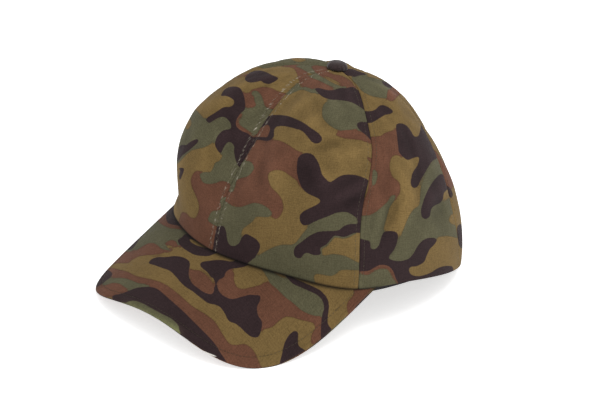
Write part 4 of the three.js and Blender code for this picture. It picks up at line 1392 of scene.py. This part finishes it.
def ring_faces(columns, rows):
    """Quads of a closed ring of two walls, joined along the top and the foot."""
    count = columns * (rows + 1)
    at = np.arange(count).reshape(columns, rows + 1)
    nxt = np.roll(at, -1, 0)
    outside = np.stack([at[:, :-1], nxt[:, :-1], nxt[:, 1:], at[:, 1:]], -1).reshape(-1, 4)
    foot = np.stack([nxt[:, 0], at[:, 0], at[:, 0] + count, nxt[:, 0] + count], -1)
    top = np.stack([at[:, -1], nxt[:, -1], nxt[:, -1] + count, at[:, -1] + count], -1)
    return np.concatenate([outside, outside[:, ::-1] + count, foot, top]).tolist()


band = make_band()


# Button: a domed metal blank covered with the dark part of the cloth, gathered underneath,
# its shank held between the tips of the panels.
BUTTON_RADIUS = 6.9
BUTTON_DOME = 4.9
BUTTON_SHANK_RADIUS = 3
BUTTON_SHANK_LENGTH = 3.4
BUTTON_TILT = 7
BUTTON_CLEAR = 0.45
BUTTON_RIM_HEIGHT = 0.5
BUTTON_ROUNDNESS = 0.64
BUTTON_GATHERS = 11
GATHER_DEPTH = 0.16
GATHER_REACH = 1.6
BUTTON_SIDES = 132
BUTTON_RINGS = 36
BUTTON_BLACK = (0.026, 0.017, 0.018, 1)
BUTTON_LINT = (0.05, 0.034, 0.033, 1)

# Radius and height of each corner of the section below the dome, from the shank's foot.
BUTTON_UNDER = (
    (0.05, -BUTTON_SHANK_LENGTH),
    (BUTTON_SHANK_RADIUS, -BUTTON_SHANK_LENGTH),
    (BUTTON_SHANK_RADIUS, -0.3),
    (BUTTON_SHANK_RADIUS + 1.2, 0),
    (BUTTON_RADIUS - 0.8, 0.02),
    (BUTTON_RADIUS - 0.25, 0.16),
)


def button_cotton():
    """The cloth's black ink, lifted by a little lint and the same weave."""
    material, tree, shader = new_material("button cotton", 0.8, 0.25)
    weave = add_node(tree, "ShaderNodeGroup", node_tree=woven_cotton).outputs
    lint = add_noise(tree, object_place_of(tree), 260.0, 4.0)
    tone = mix_colour(tree, lint, BUTTON_BLACK, BUTTON_LINT)
    colour = mix_colour(tree, 1.0, tone, weave["Shade"], "MULTIPLY")
    finish_shader(tree, shader, colour, weave["Height"], 0.5, 0.00015)
    return material


def button_section():
    """Radius and height from the shank's foot, out under the dome and over to its crown. The
    dome's radius is a cosine to a low power and its height a sine."""
    angle = np.radians(np.linspace(0, 88, BUTTON_RINGS))
    dome_radius = BUTTON_RADIUS * np.cos(angle) ** BUTTON_ROUNDNESS
    dome_height = BUTTON_RIM_HEIGHT + (BUTTON_DOME - BUTTON_RIM_HEIGHT) * np.sin(angle)
    return np.concatenate([BUTTON_UNDER, np.stack([dome_radius, dome_height], -1)]).T


def make_button():
    """The section turned about its axis, gathered in waves round the rim, then tilted."""
    radius, height = button_section()
    around = np.arange(BUTTON_SIDES)[:, None] * 2 * math.pi / BUTTON_SIDES
    rim = np.exp(-(((radius - BUTTON_RADIUS) / GATHER_REACH) ** 2)) * (height > -0.1)
    wave = np.cos(BUTTON_GATHERS * around + 1.3 * np.sin(3 * around))
    r = radius[None] + GATHER_DEPTH * rim[None] * wave
    tilt = math.radians(BUTTON_TILT)
    x = r * np.sin(around)
    y = r * np.cos(around)
    z = height[None] + 0 * around
    back = y * math.cos(tilt) + z * math.sin(tilt)
    rise = -y * math.sin(tilt) + z * math.cos(tilt)
    apex = CROWN_HEIGHT + BUTTON_CLEAR
    points = np.stack([x, back + APEX_BACK - BOX_CENTRE_Y, rise + apex], -1).reshape(-1, 3)
    rings = len(radius)
    at = np.arange(BUTTON_SIDES * rings).reshape(BUTTON_SIDES, rings)
    nxt = np.roll(at, -1, 0)
    sides = np.stack([at[:, :-1], at[:, 1:], nxt[:, 1:], nxt[:, :-1]], -1).reshape(-1, 4)
    faces = [*sides.tolist(), at[:, 0].tolist(), at[::-1, -1].tolist()]
    place = np.stack([x, y], -1).reshape(-1, 2)
    return make_piece("button_cover", points, faces, place, {}, button_cotton(),
                      ["button"])


make_button()


# Floor and lights: a flat floor of white paper in a soft white tent, as in the picture, with a
# large softbox above the cap and a weak one behind its left side. The paper glows a little, so
# that it stays white. Lengths here are in metres.
FLOOR_HALF_WIDTH = 4
FLOOR_WHITE = (0.93, 0.93, 0.93, 1)
FLOOR_GLOW = 0.6
WORLD_STRENGTH = 0.74
LIGHTS_AIM = (0, 0, 0.06)


def make_floor():
    mesh = bpy.data.meshes.new("floor")
    h = FLOOR_HALF_WIDTH
    mesh.from_pydata([(-h, -h, 0), (h, -h, 0), (h, h, 0), (-h, h, 0)], [], [(0, 1, 2, 3)])
    material, _, shader = new_material("white paper", 0.9, 0)
    shader.inputs["Base Color"].default_value = FLOOR_WHITE
    shader.inputs["Emission Color"].default_value = (1, 1, 1, 1)
    shader.inputs["Emission Strength"].default_value = FLOOR_GLOW
    mesh.materials.append(material)
    add_object("floor", mesh)


def add_light(name, place, size, power):
    """A square softbox, turned towards the cap's middle."""
    data = bpy.data.lights.new(name, "AREA")
    data.size = size
    data.energy = power
    away = np.subtract(place, LIGHTS_AIM)
    back = away / np.linalg.norm(away)
    right = np.cross([0, 0, 1], back)
    right /= np.linalg.norm(right)
    point_object(add_object(name, data), [right, np.cross(back, right), back], place)


def light_the_cap():
    world = bpy.data.worlds.new("white tent")
    world.use_nodes = True
    sky = world.node_tree.nodes["Background"]
    sky.inputs["Color"].default_value = (1, 1, 1, 1)
    sky.inputs["Strength"].default_value = WORLD_STRENGTH
    bpy.context.scene.world = world
    add_light("top softbox", (0.3, 0.2, 1.6), 1.0, 11.5)
    add_light("side softbox", (1.2, 0.7, 0.9), 0.8, 1)
    bpy.context.scene.view_settings.view_transform = "Standard"


make_floor()
light_the_cap()
